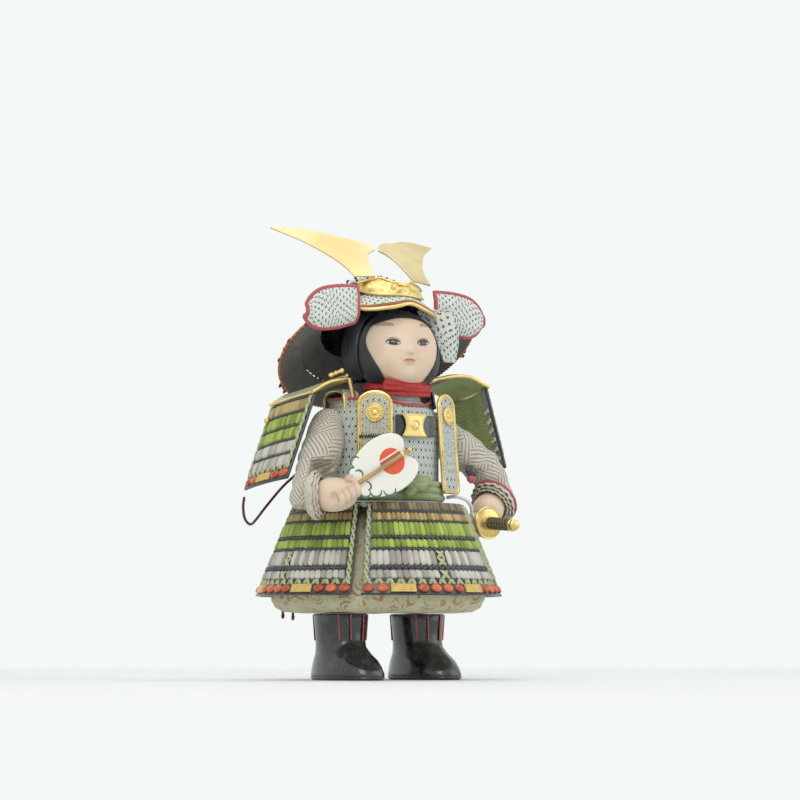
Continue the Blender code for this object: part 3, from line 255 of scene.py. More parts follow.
class Value:
    """A node's output. Sums, differences and products of it make Math nodes."""

    def __init__(self, nodes, socket):
        self.nodes, self.socket = nodes, socket

    def __add__(self, other):
        return self.nodes.math("ADD", self, other)

    def __sub__(self, other):
        return self.nodes.math("SUBTRACT", self, other)

    def __rsub__(self, other):
        return self.nodes.math("SUBTRACT", other, self)

    def __mul__(self, other):
        return self.nodes.math("MULTIPLY", self, other)

    def __abs__(self):
        return self.nodes.math("ABSOLUTE", self)


class Nodes:
    """A node tree being put together."""

    def __init__(self, tree):
        self.tree = tree

    def feed(self, socket, value):
        """Join a value to a socket, or set the socket to it."""
        if isinstance(value, Value):
            self.tree.links.new(value.socket, socket)
        elif isinstance(value, tuple) and socket.type == "RGBA":
            socket.default_value = (*value, 1.0)
        elif value is not None:
            socket.default_value = value

    def node(self, kind, *inputs, out=0, named=None, **props):
        """Add a node, its inputs given in order or by name, and return one of its outputs."""
        made = self.tree.nodes.new("ShaderNode" + kind)
        for key, value in props.items():
            setattr(made, key, value)
        for socket, value in zip(made.inputs, inputs):
            self.feed(socket, value)
        for key, value in (named or {}).items():
            self.feed(made.inputs[key], value)
        return Value(self, made.outputs[out]) if made.outputs else None

    def math(self, operation, a, b=None):
        return self.node("Math", a, b, operation=operation)

    def others(self, value):
        """All outputs of the node that a value comes from."""
        return [Value(self, socket) for socket in value.socket.node.outputs]


class Mat(Nodes):
    """A node material being put together."""

    def __init__(self, name, rough, metal=0.0, **sockets):
        self.mat = bpy.data.materials.new(name)
        self.mat.use_nodes = True
        super().__init__(self.mat.node_tree)
        self.shader = self.tree.nodes["Principled BSDF"]
        self.set("Roughness", rough)
        self.set("Metallic", metal)
        for key, value in sockets.items():
            self.set(key.replace("_", " "), value)

    def set(self, name, value):
        self.feed(self.shader.inputs[name], value)

    def mix(self, factor, a, b):
        return self.node("Mix", factor, *[None] * 5, a, b, out=2, data_type="RGBA")

    def ramp(self, value, low, high):
        """0 below low, 1 above high, smooth between."""
        return self.node("MapRange", value, low, high, 0.0, 1.0, interpolation_type="SMOOTHSTEP")

    def paint(self, level, low, high, dark, light):
        """Colour the surface from dark to light as level goes from low to high."""
        self.set("Base Color", self.mix(self.ramp(level, low, high), dark, light))

    def wear(self, level, smooth, rough, high=0.7):
        """Let the roughness follow a level that lies between 0.3 and high."""
        self.set("Roughness", self.node("MapRange", level, 0.3, high, smooth, rough))

    def place(self, kind="UV", scale=(1, 1, 1), turn=0.0):
        """Coordinates: UV is in decimetres, Object in metres."""
        source = self.node("TexCoord", out=kind)
        return self.node("Mapping", source, named={"Scale": scale, "Rotation": (0, 0, radians(turn))})

    def noise(self, where, scale, detail=2.0, rough=0.5, out=0):
        return self.node("TexNoise", where, None, scale, detail, rough, out=out)

    def grain(self, scale, detail=2.0, rough=0.5):
        """Noise fixed to the object, so that it has one size on every piece."""
        return self.noise(self.place("Object"), scale, detail, rough)

    def voronoi(self, where, scale, feature="F1"):
        return self.node("TexVoronoi", where, out="Distance", feature=feature,
                         named={"Scale": scale, "Randomness": 1.0})

    def split(self, where):
        return self.others(self.node("SeparateXYZ", where))

    def from_middle(self, value):
        """How far a coordinate is from the middle of its repeat."""
        return abs(self.math("FRACT", value) - 0.5)

    def tone(self):
        """The strand's own shade, from the mesh."""
        return self.node("Attribute", out="Fac", attribute_name="tone")

    def bump(self, height, strength=0.5, distance=0.0004):
        self.set("Normal", self.node("Bump", strength, distance, named={"Height": height}))
        return self.mat


# Materials

def silk(name, colour, dark, rough=0.55):
    """A flat silk braid: slanting threads across the strand, with painted shade in the grooves between them."""
    m = Mat(name, rough, Sheen_Weight=0.3, Sheen_Roughness=0.4)
    x, y, _ = m.split(m.place())
    thread = m.math("SINE", (y * 900 + abs(x * 700)) * 2.4)
    patch = m.grain(260, 3)
    # thread darkens the colour in the grooves between threads, where the bump is low: painted shade
    m.paint(thread * 0.10 + patch * 0.45 + m.tone() * 0.75, 0.1, 0.95, dark, colour)
    m.wear(patch, rough - 0.08, rough + 0.12)
    return m.bump(thread + patch * 0.8, 0.35, 0.00015)


def lacquer(name, colour, rough=0.22, dust=(0.09, 0.095, 0.1)):
    """Lacquer with a glossy coat, a little dusty in patches."""
    m = Mat(name, rough, Coat_Weight=0.5, Coat_Roughness=0.12)
    spots = m.grain(120, 5, 0.65)
    m.paint(spots, 0.42, 0.85, colour, dust)
    m.wear(spots, rough - 0.05, rough + 0.2, high=0.75)
    return m.bump(m.grain(700), 0.08, 0.0001)


def gilt(name, colour, dark, rough=0.3, relief=0.0):
    """Gilt metal, tarnished darker in its recesses, with fine tooling where relief is set."""
    m = Mat(name, rough, 0.85)
    where = m.place("Object")
    cloud, fine = m.noise(where, 70, 4, 0.6), m.noise(where, 900, 2)
    level = cloud * 0.8 + fine * 0.25
    if relief:
        scroll = m.voronoi(where, 260, "SMOOTH_F1")
        level = level + 0.15 - scroll * 0.5
        fine = fine * 0.1 + scroll * -relief
    m.paint(level, 0.2, 0.62, dark, colour)
    m.wear(cloud, rough - 0.06, rough + 0.12)
    return m.bump(fine, 0.5 if relief else 0.12, 0.0003 if relief else 0.0001)


def brushed_gold():
    """The horns' pale matt gold, with a faint long grain."""
    m = Mat("horn_gold", 0.42, 0.75)
    grain = m.noise(m.place("Object", (180, 180, 1400)), 1.0, 3)
    m.paint(grain * 0.35 + m.grain(30, 3) * 0.65, 0.3, 0.7, (0.63, 0.49, 0.22), (0.77, 0.65, 0.36))
    m.wear(grain, 0.36, 0.5)
    return m.bump(grain, 0.08, 0.0001)


def dashed_cloth():
    """The helmet's cloth: a pale ground strewn with short dark dashes."""
    m = Mat("dashed_cloth", 0.8, Sheen_Weight=0.15)
    marks = None
    for turn, shift in ((24, 0.0), (-38, 0.37)):
        place = m.node("VectorMath", m.place("UV", (34, 24, 1), turn), (shift, shift * 2, 0), operation="ADD")
        x, y, _ = m.split(place)
        x = x + m.math("FLOOR", y) * 0.41
        mark = 1.0 - m.ramp(m.math("MAXIMUM", m.from_middle(x) * 2.0, m.from_middle(y)), 0.17, 0.24)
        marks = mark if marks is None else m.math("MAXIMUM", marks, mark)
    weave = m.grain(900)
    ground = m.mix(m.ramp(weave, 0.3, 0.7), (0.68, 0.72, 0.67), (0.84, 0.87, 0.83))
    m.set("Base Color", m.mix(marks, ground, (0.035, 0.045, 0.06)))
    return m.bump(weave - marks * 0.6, 0.3, 0.00015)


def diamond_cloth(name, cell, ground, lines, mark):
    """The armour's printed cloth: a lattice of small leaves with a dark lozenge in each."""
    m = Mat(name, 0.8, Sheen_Weight=0.15)
    x, y, _ = m.split(m.place("UV", (100 / cell[0], 100 / cell[1], 1)))
    x = x + m.math("FLOOR", y) * 0.5
    fx, fy = m.from_middle(x), m.from_middle(y)
    dark = 1.0 - m.ramp(fx * 3.4 + fy * 1.9, 0.42, 0.62)
    leaf = abs(fx + fy * 0.9 - 0.47)
    vein = abs(fx - fy * 0.9 - 0.06)
    net = 1.0 - m.ramp(m.math("MINIMUM", leaf, vein), 0.02, 0.08)
    weave = m.grain(1000)
    base = m.mix(m.ramp(weave, 0.3, 0.7), ground, tuple(min(1.0, c * 1.2) for c in ground))
    m.set("Base Color", m.mix(dark, m.mix(net * 0.75, base, lines), mark))
    return m.bump(weave + net * 0.5, 0.3, 0.00015)


def fret_cloth():
    """The sleeves' ivory cloth, woven with a taupe key fret set on the slant."""
    m = Mat("fret_cloth", 0.85, Sheen_Weight=0.2)
    x, y, _ = m.split(m.place("UV", (19, 19, 1), 38))
    cell = m.node("CombineXYZ", m.math("FLOOR", x), m.math("FLOOR", y), 0.0)
    pick = m.math("GREATER_THAN", m.node("TexWhiteNoise", cell, noise_dimensions="3D"), 0.5)
    along = m.math("FRACT", x) * pick + m.math("FRACT", y) * (1.0 - pick)
    line = 1.0 - m.ramp(m.from_middle(along * 2.0), 0.16, 0.26)
    weave = m.grain(800, 3)
    ground = m.mix(m.ramp(weave, 0.3, 0.7), (0.62, 0.57, 0.49), (0.76, 0.71, 0.62))
    m.set("Base Color", m.mix(line * 0.8, ground, (0.30, 0.25, 0.20)))
    return m.bump(weave + line * 0.7, 0.4, 0.0002)


def brocade():
    """The trousers' olive ivory brocade, with brown scrolls woven in."""
    m = Mat("trouser_brocade", 0.75, Sheen_Weight=0.25)
    where = m.place()
    warp = m.node("VectorMath", m.noise(where, 5, 2, 0.5, 1), (0.16, 0.16, 0), operation="MULTIPLY")
    bent = m.node("VectorMath", where, warp, operation="ADD")
    line = 1.0 - m.ramp(m.from_middle(m.voronoi(bent, 6.5) * 5.0), 0.12, 0.26)
    line = line * m.ramp(m.noise(where, 9, 1), 0.44, 0.6)
    weave = m.grain(900, 3)
    ground = m.mix(m.ramp(weave, 0.3, 0.7), (0.47, 0.45, 0.28), (0.64, 0.61, 0.42))
    m.set("Base Color", m.mix(line, ground, (0.42, 0.22, 0.11)))
    return m.bump(weave + line * 0.8, 0.4, 0.0002)


def cloth(name, colour, dark, rough=0.85, rib=0.0):
    """Plain cloth, or ribbed across its length where rib is set, in ribs a decimetre, with painted shade between the
    ribs.
    """
    m = Mat(name, rough, Sheen_Weight=0.2)
    weave, cloud = m.grain(900, 3), m.grain(90)
    level, height = weave * 0.5 + cloud * 0.5, weave
    if rib:
        wave = m.math("SINE", m.split(m.place())[1] * (rib * 6.2832))
        # The rib wave darkens the colour in the troughs and lightens it on the crests: painted shade between the ribs
        level, height = level + wave * 0.14, weave * 0.4 + wave
    m.paint(level, 0.3, 0.7, dark, colour)
    m.wear(cloud, rough - 0.08, rough + 0.08)
    return m.bump(height, 0.4, 0.0002)


def skin():
    """Warm painted skin with a soft satin coat."""
    m = Mat("skin", 0.42, Subsurface_Weight=0.12, Subsurface_Scale=0.004)
    cloud = m.grain(60, 3)
    m.paint(cloud, 0.3, 0.7, (0.80, 0.60, 0.44), (0.86, 0.69, 0.54))
    m.wear(cloud, 0.36, 0.5)
    return m.bump(m.grain(1200), 0.05, 0.0001)


def hair():
    """Black hair: fine grooves that run down the head."""
    m = Mat("hair_strands", 0.4, Sheen_Weight=0.15)
    across = m.split(m.place())[0] * 90 + m.noise(m.place(), 6, 2) * 0.3
    groove = m.noise(m.node("CombineXYZ", across, 0.0, 0.0), 1.0, 4, 0.7)
    m.paint(groove, 0.35, 0.75, (0.004, 0.004, 0.006), (0.035, 0.036, 0.045))
    m.wear(groove, 0.32, 0.52)
    return m.bump(groove, 0.6, 0.0004)


def enamel(name, colour, dark, rough=0.32):
    """Thick glossy paint, shaded a little from piece to piece."""
    m = Mat(name, rough, Coat_Weight=0.25, Coat_Roughness=0.2)
    cloud = m.grain(240, 3)
    m.paint(cloud * 0.6 + m.tone() * 0.5, 0.25, 0.8, dark, colour)
    return m.bump(cloud, 0.15, 0.0002)


def wood(name, light, dark):
    """Varnished wood, its grain along the piece."""
    m = Mat(name, 0.42, Coat_Weight=0.2, Coat_Roughness=0.25)
    grain = m.noise(m.place("UV", (160, 7, 1)), 1.0, 3, 0.6)
    m.paint(grain, 0.3, 0.7, dark, light)
    return m.bump(grain, 0.15, 0.0001)


BLACK = lacquer("black_lacquer", (0.012, 0.014, 0.018))
EDGE_BLACK = lacquer("lame_black", (0.018, 0.021, 0.026), 0.35)
GREEN = silk("green_silk", (0.50, 0.62, 0.11), (0.16, 0.24, 0.03))
GOLD_SILK = silk("gold_silk", (0.66, 0.50, 0.20), (0.26, 0.17, 0.05))
BROWN_SILK = silk("brown_silk", (0.34, 0.25, 0.13), (0.08, 0.06, 0.04))
WHITE_SILK = silk("white_silk", (0.74, 0.71, 0.64), (0.36, 0.33, 0.29))
KNOT_SILK = silk("knot_silk", (0.66, 0.68, 0.42), (0.24, 0.27, 0.10))
ORANGE_SILK = silk("orange_silk", (0.66, 0.24, 0.10), (0.26, 0.06, 0.03))
MAROON_SILK = silk("maroon_silk", (0.20, 0.035, 0.045), (0.07, 0.008, 0.012), 0.6)
BEAD = enamel("bead_orange", (0.78, 0.17, 0.05), (0.42, 0.06, 0.02))
BLOCK = enamel("block_gold", (0.85, 0.62, 0.20), (0.52, 0.32, 0.07), 0.4)
GOLD = gilt("gold_metal", (0.86, 0.66, 0.26), (0.46, 0.30, 0.08))
TOOLED = gilt("tooled_gold", (0.90, 0.71, 0.30), (0.42, 0.27, 0.07), 0.26, 1.0)
HORN_GOLD = brushed_gold()
DASHED = dashed_cloth()
DIAMOND = diamond_cloth("diamond_cloth", (4.6, 5.0), (0.62, 0.66, 0.62), (0.18, 0.21, 0.20), (0.02, 0.025, 0.03))
SMALL_DIAMOND = diamond_cloth("small_diamond_cloth", (3.2, 4.4), (0.64, 0.66, 0.54), (0.20, 0.19, 0.10),
                              (0.08, 0.07, 0.04))
FRET = fret_cloth()
BROCADE = brocade()
CUFF = cloth("cuff_crepe", (0.74, 0.70, 0.60), (0.50, 0.46, 0.36))
WHITE = cloth("white_cloth", (0.84, 0.82, 0.80), (0.62, 0.58, 0.56))
RED = cloth("red_cloth", (0.60, 0.035, 0.03), (0.30, 0.01, 0.012), 0.6)
PIPING = cloth("rose_piping", (0.62, 0.13, 0.15), (0.40, 0.06, 0.075), 0.6)
WHITE_CORD = cloth("white_cord", (0.88, 0.88, 0.86), (0.66, 0.67, 0.66), 0.7)
MAROON_CORD = cloth("maroon_cord", (0.19, 0.035, 0.045), (0.09, 0.014, 0.02), 0.7)
SASH = cloth("green_sash", (0.42, 0.48, 0.26), (0.25, 0.30, 0.13), 0.8)
LINING = cloth("green_lining", (0.36, 0.44, 0.17), (0.16, 0.21, 0.06), 0.8, 60)
GREY = cloth("grey_lining", (0.20, 0.19, 0.18), (0.10, 0.095, 0.09), 0.8)
SKIN = skin()
HAIR = hair()
WOOD = wood("fan_wood", (0.56, 0.38, 0.16), (0.36, 0.22, 0.08))
EYE_WHITE = enamel("eye_white", (0.80, 0.76, 0.70), (0.60, 0.55, 0.48))
IRIS = enamel("eye_brown", (0.03, 0.015, 0.010), (0.014, 0.008, 0.006))
LASH = silk("lash_brown", (0.16, 0.10, 0.07), (0.10, 0.06, 0.04))
BROW = silk("brow_brown", (0.50, 0.39, 0.30), (0.38, 0.28, 0.21))
LIP = enamel("lip_rose", (0.70, 0.36, 0.30), (0.60, 0.28, 0.23))
LIP_DARK = enamel("lip_line", (0.40, 0.13, 0.10), (0.32, 0.09, 0.07))
NAIL = enamel("nail_pink", (0.80, 0.56, 0.46), (0.74, 0.48, 0.40))
FAN_IVORY = lacquer("fan_ivory", (0.93, 0.91, 0.84), 0.3, (0.88, 0.86, 0.78))
FAN_RED = lacquer("fan_red", (0.82, 0.10, 0.03), 0.3, (0.76, 0.12, 0.05))
# The disc's red darkened next to the shaft: a painted shadow of the shaft
FAN_SHAFT_SHADOW = lacquer("fan_red_shaft_shadow", (0.50, 0.12, 0.06), 0.3, (0.46, 0.14, 0.09))
FAN_GREEN = lacquer("fan_green", (0.05, 0.17, 0.11), 0.3, (0.07, 0.17, 0.12))
WRAP = silk("grip_wrap", (0.20, 0.17, 0.07), (0.07, 0.055, 0.02), 0.6)


# Camera, floor, backdrop and lights

def build_camera():
    """The photo's view: low, from the doll's right, with a long lens."""
    lens = bpy.data.cameras.new("camera")
    lens.sensor_width = 36
    lens.lens = 153.45
    lens.clip_start, lens.clip_end = 0.1, 20
    camera = add_object("camera", lens)
    camera.location = V(-1.290, -1.869, 0.024) + AXIS / 1000
    camera.rotation_euler = V(0.57125, 0.81664, 0.0712).to_track_quat("-Z", "Y").to_euler()
    bpy.context.scene.camera = camera


def build_floor():
    """A pale floor that fades into the backdrop."""
    m = Mat("floor_paint", 0.9)
    where = m.place("Object")
    m.set("Base Color", m.mix(m.noise(where, 2.0, 2), (0.86, 0.875, 0.865), (0.89, 0.90, 0.89)))
    reach = m.node("VectorMath", where, operation="LENGTH", out="Value")
    m.set("Alpha", 1.0 - m.ramp(reach, 0.35, 1.5))
    bpy.ops.mesh.primitive_plane_add(size=3.2, location=(0, 0, 0))
    floor = bpy.context.object
    floor.name = "floor"
    floor.data.materials.append(m.mat)


def build_world():
    """A white backdrop to the eye, in gloss and through glass, and a soft dim light to all else."""
    world = bpy.data.worlds.new("studio")
    bpy.context.scene.world = world
    world.use_nodes = True
    n = Nodes(world.node_tree)
    n.tree.nodes.clear()
    rays = {value.socket.name: value for value in n.others(n.node("LightPath"))}
    seen = n.math("MAXIMUM", rays["Is Camera Ray"],
                  n.math("MAXIMUM", rays["Is Glossy Ray"], rays["Is Transmission Ray"]))
    light = n.node("Background", (0.93, 0.97, 0.95), 0.5)
    white = n.node("Background", (0.93, 0.965, 0.95), 0.97)
    n.node("OutputWorld", n.node("MixShader", seen, light, white))


def build_lamps():
    for name, place, size, power, tint in (
            ("key", (-1.3, -1.5, 1.5), 1.2, 18, (1.0, 0.985, 0.96)),
            ("fill", (1.5, -1.2, 0.8), 1.4, 7, (0.96, 0.98, 1.0)),
            ("top", (0.1, 0.1, 1.7), 1.4, 8, (1.0, 1.0, 0.99)),
            ("rim", (0.8, 1.5, 1.1), 1.1, 5, (1.0, 1.0, 1.0))):
        lamp = bpy.data.lights.new(name, "AREA")
        lamp.size, lamp.energy, lamp.color = size, power, tint
        obj = add_object(name, lamp)
        obj.location = place
        obj.rotation_euler = (V(0, 0, 0.16) - Vector(place)).to_track_quat("-Z", "Y").to_euler()


# Free cords

def cord_curve(name, route, radius, material):
    """A cord as one open curve through the route that its solid follows."""
    path = smooth_path(route, 40)
    curve = bpy.data.curves.new(name, "CURVE")
    curve.dimensions = "3D"
    curve.bevel_depth = radius / 1000
    curve.bevel_resolution = 3
    curve.use_fill_caps = True
    spline = curve.splines.new("POLY")
    spline.points.add(len(path) - 1)
    for knot, point in zip(spline.points, path):
        knot.co = (*(BODY @ point), 1)
    curve.materials.append(material)
    obj = add_object(name, curve)
    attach(obj, "root")
    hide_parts(name.replace("_silk", ""))
    length = sum((b - a).length for a, b in zip(path, path[1:]))
    return obj, BODY @ path[0], length / 1000


def tassel_end(name, point, along, radius, material):
    """A bound end: a small whipping round the cord near its end."""
    shape = Shape()
    along = along.normalized()
    shape.tube([point - along * 3.0, point - along * 2.6, point - along * 1.4, point - along * 1.0],
               [radius * 1.02, radius * 1.3, radius * 1.3, radius * 1.02], sides=10)
    return shape.build(name, [material], crisp=60)


def build_cords():
    """The free cords, each along its own route."""
    routes = {
        "back_cord_right_silk": [V(-1.7, 41.9, 143.7), V(-3.4, 44.6, 136), V(-8, 56, 121.5), V(-11, 66, 104),
                                 V(-15, 76.5, 82), V(-18, 85, 62), V(-19, 87, 51), V(-19.3, 87, 41)],
        "back_cord_left_silk": [V(1.7, 41.9, 143.7), V(1.3, 44.6, 136), V(-1, 56.5, 121.5), V(-4, 67, 104),
                                V(-7, 78, 82), V(-9, 87, 62), V(-9.6, 89, 51), V(-9.8, 89, 40)],
        "shoulder_cord_silk": [V(-83, 36, 120.7), V(-83.6, 36.5, 114), V(-81, 38.5, 106.5), V(-74, 43, 103),
                               V(-66, 49, 106), V(-54, 54, 116), V(-40, 52.5, 131), V(-24, 47.5, 145),
                               V(-19.7, 43, 149.5)],
        "sword_cord_silk": [V(36.4, -26.5, 121), V(42, -30.6, 121.6), V(48, -33.5, 119.3), V(51.8, -33.8, 114.8),
                            V(54, -31.5, 110.5), V(57.5, -29.5, 107.5), V(61.2, -28.6, 106.2)],
    }
    for name, route in routes.items():
        white = name.startswith("sword")
        radius = 1.2 if white else 0.9
        obj, exit_point, length = cord_curve(name, route, radius, WHITE_CORD if white else MAROON_CORD)
        ends = []
        if name.startswith("back"):
            ends = [tassel_end(name + "_end", route[-1], route[-1] - route[-2], radius, MAROON_CORD)]
        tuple(exit_point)
        2 * radius / 1000


# Laced rows

STRAND = ((0.0, 0.50, 0.0), (0.07, 0.82, 0.62), (0.22, 1.0, 0.95), (0.5, 1.0, 1.0), (0.78, 1.0, 0.95),
          (0.93, 0.82, 0.62), (1.0, 0.50, 0.0))


def strand(shape, at, middle, half, top, foot, rise, lean=0.0, slot=0, tone=0.5, base=0.0, sides=7):
    """One flat silk strand, lying over a surface from top to foot."""
    rows = []
    for t, wide, high in STRAND:
        rows.append([at(middle + half * (wide * x + lean * (t - 0.5)), lerp(top, foot, t),
                        base + rise * high * sqrt(max(0.0, 1 - x * x * 0.96)))
                     for x in (2 * k / (sides - 1) - 1 for k in range(sides))])
    shape.grid(rows, slot, tone, flip=True, uv=(middle * 7.3, top * 0.013))


def lace_row(shape, at, top, foot, count, slot, rise=1.5, lean=0.35, span=(0.0, 1.0), skip=()):
    """A row of strands side by side."""
    step = (span[1] - span[0]) / count
    rng = random.Random(int(top * 10) + slot)
    for i in range(count):
        if i in skip:
            continue
        middle = span[0] + (i + 0.5) * step + rng.uniform(-0.03, 0.03) * step
        strand(shape, at, middle, step * 0.49, top + rng.uniform(-0.15, 0.15), foot + rng.uniform(-0.3, 0.3),
               rise * rng.uniform(0.9, 1.06), lean, slot, rng.random())


def teeth(shape, at, z, height, count, slot, rise=0.9, span=(0.0, 1.0)):
    """The lames' dark scalloped edge, seen between two rows of lacing."""
    step = (span[1] - span[0]) / count
    for i in range(count):
        up = 0.16 * height * (1 if i % 2 else -1)
        strand(shape, at, span[0] + (i + 0.5) * step, step * 0.6, z + height / 2 + up, z - height / 2 + up,
               rise, 1.0 if i % 2 else -1.0, slot, 0.4, sides=5)


def crossing(shape, at, middle, half, top, foot, slot, rise=1.3, base=0.0):
    """Two strands that cross."""
    for side in (-1, 1):
        rows = []
        for t, wide, high in STRAND:
            x0 = middle + side * half * 0.62 * (2 * t - 1)
            rows.append([at(x0 + half * 0.42 * wide * x, lerp(top, foot, t),
                            base + rise * high * sqrt(max(0.0, 1 - x * x * 0.96))
                            + (0.35 if side > 0 else 0) * sin(pi * t)) for x in (-1, -0.5, 0, 0.5, 1)])
        shape.grid(rows, slot, 0.45 + 0.3 * (side > 0), flip=True)


def edge_braid(shape, at, s, top, foot, count, slot, half):
    """The plaited cord that runs down a panel's end."""
    step = (top - foot) / count
    for i in range(count):
        z = top - (i + 0.5) * step
        crossing(shape, at, s, half, z + step * 0.56, z - step * 0.56, slot, 1.5, 0.1)


def bead_board(shape, at, pattern, top, foot, bead_slot, block_slot, rise):
    """Round beads and ribbed blocks along a lame's foot. at takes places from 0 to 1."""
    widths = [2.0 if mark == "=" else 1.0 for mark in pattern]
    total, start = sum(widths), 0.0
    middle_z, half_z = (top + foot) / 2, (top - foot) / 2
    rng = random.Random(3)
    for mark, width in zip(pattern, widths):
        s = (start + width / 2) / total
        half = width / total / 2
        if mark == "o":
            rings = [(0.0, 1.0), (0.45, 0.94), (0.75, 0.72), (0.93, 0.4), (1.0, 0.0)]
            tone = rng.random()
            rows = [[at(s + half * 0.88 * r * sin(a), middle_z + half_z * 0.84 * r * cos(a), 0.1 + rise * h)
                     for a in turns(16)] for r, h in rings[::-1]]
            rows[-1] = [rows[-1][0]] * 16
            shape.grid(rows, bead_slot, tone, wrap=True, flip=True)
        else:
            ribs, rows = 4, []
            for i in range(ribs * 4 + 1):
                z = middle_z + half_z * 0.84 * (1 - 2 * i / (ribs * 4))
                lift = rise * (0.55 + 0.25 * (1 - cos(2 * pi * i / 4)) / 2)
                lift = 0.0 if i in (0, ribs * 4) else lift
                rows.append([at(s + half * x, z, 0.1 + lift * y) for x, y in
                             ((-0.92, 0), (-0.9, 0.8), (-0.84, 1), (0, 1), (0.84, 1), (0.9, 0.8), (0.92, 0))])
            shape.grid(rows, block_slot, 0.6, flip=True)
        start += width


def knots(shape, at, z, count, slot, half):
    """Small tied pairs above the beads."""
    for i in range(count):
        s = (i + 0.5) / count
        for side in (-1, 1):
            strand(shape, at, s + side * half * 0.52, half * 0.55, z + 1.9, z - 1.9, 1.2, side * 1.1, slot,
                   0.35 + 0.2 * (side > 0), 0.1, sides=5)


def skirt_radius(z):
    return 56 + (116 - z) / 60.4 * 25


SKIRT_SILKS = [EDGE_BLACK, GREEN, GOLD_SILK, BROWN_SILK, WHITE_SILK, KNOT_SILK, BEAD, BLOCK]
LAME, GREEN_ROW, GOLD_ROW, BROWN_ROW, WHITE_ROW, KNOT, BEADS, BLOCKS = range(8)


def build_skirt_panel(side, middle):
    """One skirt panel: laced rows over black lames, with its plaited ends and beaded foot."""
    def at(s, z, out):
        return polar(skirt_radius(z) + out, middle + (s - 0.5) * 85, z)

    shape = Shape()
    spans = shares(24)
    shape.slab(at, spans, [116, 110, 104, 92, 86, 74, 64, 55.6], 0.0, 2.4, LAME)
    inner = (0.045, 0.955)
    lace_row(shape, at, 116.2, 110.6, 26, BROWN_ROW, 1.0, 0.5, inner)
    teeth(shape, at, 109.6, 1.7, 52, LAME, 1.1, span=inner)
    lace_row(shape, at, 109.4, 103.9, 26, GOLD_ROW, 1.4, 0.45, inner)
    teeth(shape, at, 103.6, 1.8, 52, LAME, 1.2, span=inner)
    lace_row(shape, at, 103.2, 93.6, 24, GREEN_ROW, 1.6, 0.3, inner)
    teeth(shape, at, 93.0, 2.6, 48, LAME, 1.5, span=inner)
    lace_row(shape, at, 91.8, 85.9, 24, GREEN_ROW, 1.6, 0.5, inner)
    teeth(shape, at, 85.3, 1.9, 48, LAME, 1.2, span=inner)
    lace_row(shape, at, 84.7, 74.3, 24, WHITE_ROW, 1.6, 0.25, inner, skip=(11, 12))
    crossing(shape, at, 0.5, 0.036, 84.4, 79.2, KNOT, 1.5)
    crossing(shape, at, 0.5, 0.036, 79.6, 74.4, KNOT, 1.5)
    teeth(shape, at, 73.1, 3.2, 46, LAME, 1.6, span=inner)
    lace_row(shape, at, 71.8, 65.9, 24, WHITE_ROW, 1.6, 0.5, inner, skip=(11, 12))
    crossing(shape, at, 0.5, 0.036, 71.8, 65.7, KNOT, 1.5)
    teeth(shape, at, 65.0, 1.6, 40, LAME, 0.8, span=inner)
    knots(shape, at, 64.1, 16, KNOT, 0.020)
    for s in (0.022, 0.978):
        edge_braid(shape, at, s, 115, 65.5, 9, KNOT, 0.019)
    bead_board(shape, at, "oo=oooo=ooo", 63.2, 56.6, BEADS, BLOCKS, 2.1)
    shape.tube([at(s, 55.9, 0.4) for s in spans], 0.75, LAME, sides=6)
    shape.build(f"skirt_{side}_laced", SKIRT_SILKS, [f"skirt_{side}_upper_rows",
                f"skirt_{side}_lower_rows", f"skirt_{side}_board"], crisp=55)


# Helmet

BOWL = [(0, 1.0), (0.12, 0.995), (0.3, 0.965), (0.5, 0.88), (0.7, 0.735), (0.86, 0.54), (0.96, 0.3),
        (1.0, 0.06), (1.0, 0.0)]


def bowl_point(share, angle, out=0.0):
    """A place on the bowl: share 0 at its crown and 1 at its rim."""
    k = share * (len(BOWL) - 1)
    i = min(int(k), len(BOWL) - 2)
    (r0, z0), (r1, z1) = BOWL[i], BOWL[i + 1]
    r, z = lerp(r0, r1, k - i) * 34.6, lerp(z0, z1, k - i) * 33.3
    slope = V(r, z).normalized() if r or z else V(0, 1)
    return polar(r + out * slope.x, angle, z + out * slope.y)


def build_bowl():
    """The helmet's lacquered bowl: ribs from crown to rim, with a line of rivets between each two."""
    shape = Shape(HELMET)
    count = 144
    rows = []
    for i in range(33):
        share = i / 32
        row = []
        for j in range(count):
            angle = 360 * j / count
            ridge = max(0.0, 1 - abs((angle + 7.5) % 15 - 7.5) / 1.6) * 0.55 * min(1.0, share * 4)
            row.append(bowl_point(share, angle, ridge))
        rows.append(row)
    shape.grid(rows, 0, 0.5, wrap=True, flip=True)
    rim = [polar(35.0, 360 * j / 72, 0.6) for j in range(72)]
    shape.tube(rim, 0.75, 1, sides=8, closed=True)
    for j in range(24):
        for k in range(7):
            centre = bowl_point(0.30 + 0.095 * k, 15 * j + 7.5, 0.25)
            shape.ball(centre, (0.85, 0.85, 0.75), 1, segments=8, rings=5)
    shape.build("helmet_bowl_ribbed", [BLACK, EDGE_BLACK], ["helmet_bowl"])


def build_finial():
    """The gilt knob at the bowl's crown: three petalled tiers and a button."""
    shape = Shape(HELMET)
    tiers = ((4.6, 33.9, 0.9), (3.6, 34.7, 0.9), (2.5, 35.5, 1.0))
    for radius, z, high in tiers:
        rows = []
        for r, h in ((0.2, 0), (1.0, 0), (1.06, 0.4), (0.98, 0.85), (0.62, 1.0), (0.2, 1.0)):
            rows.append([polar(radius * r * (1 + (0.07 if j % 2 else -0.04)), 360 * j / 24, z + high * h)
                         for j in range(24)])
        shape.grid(rows, 0, wrap=True)
    shape.ball((0, 0, 36.6), (1.5, 1.5, 0.9), 0, segments=14, rings=7)
    shape.build("helmet_finial_tiers", [GOLD], ["helmet_finial"], crisp=50)


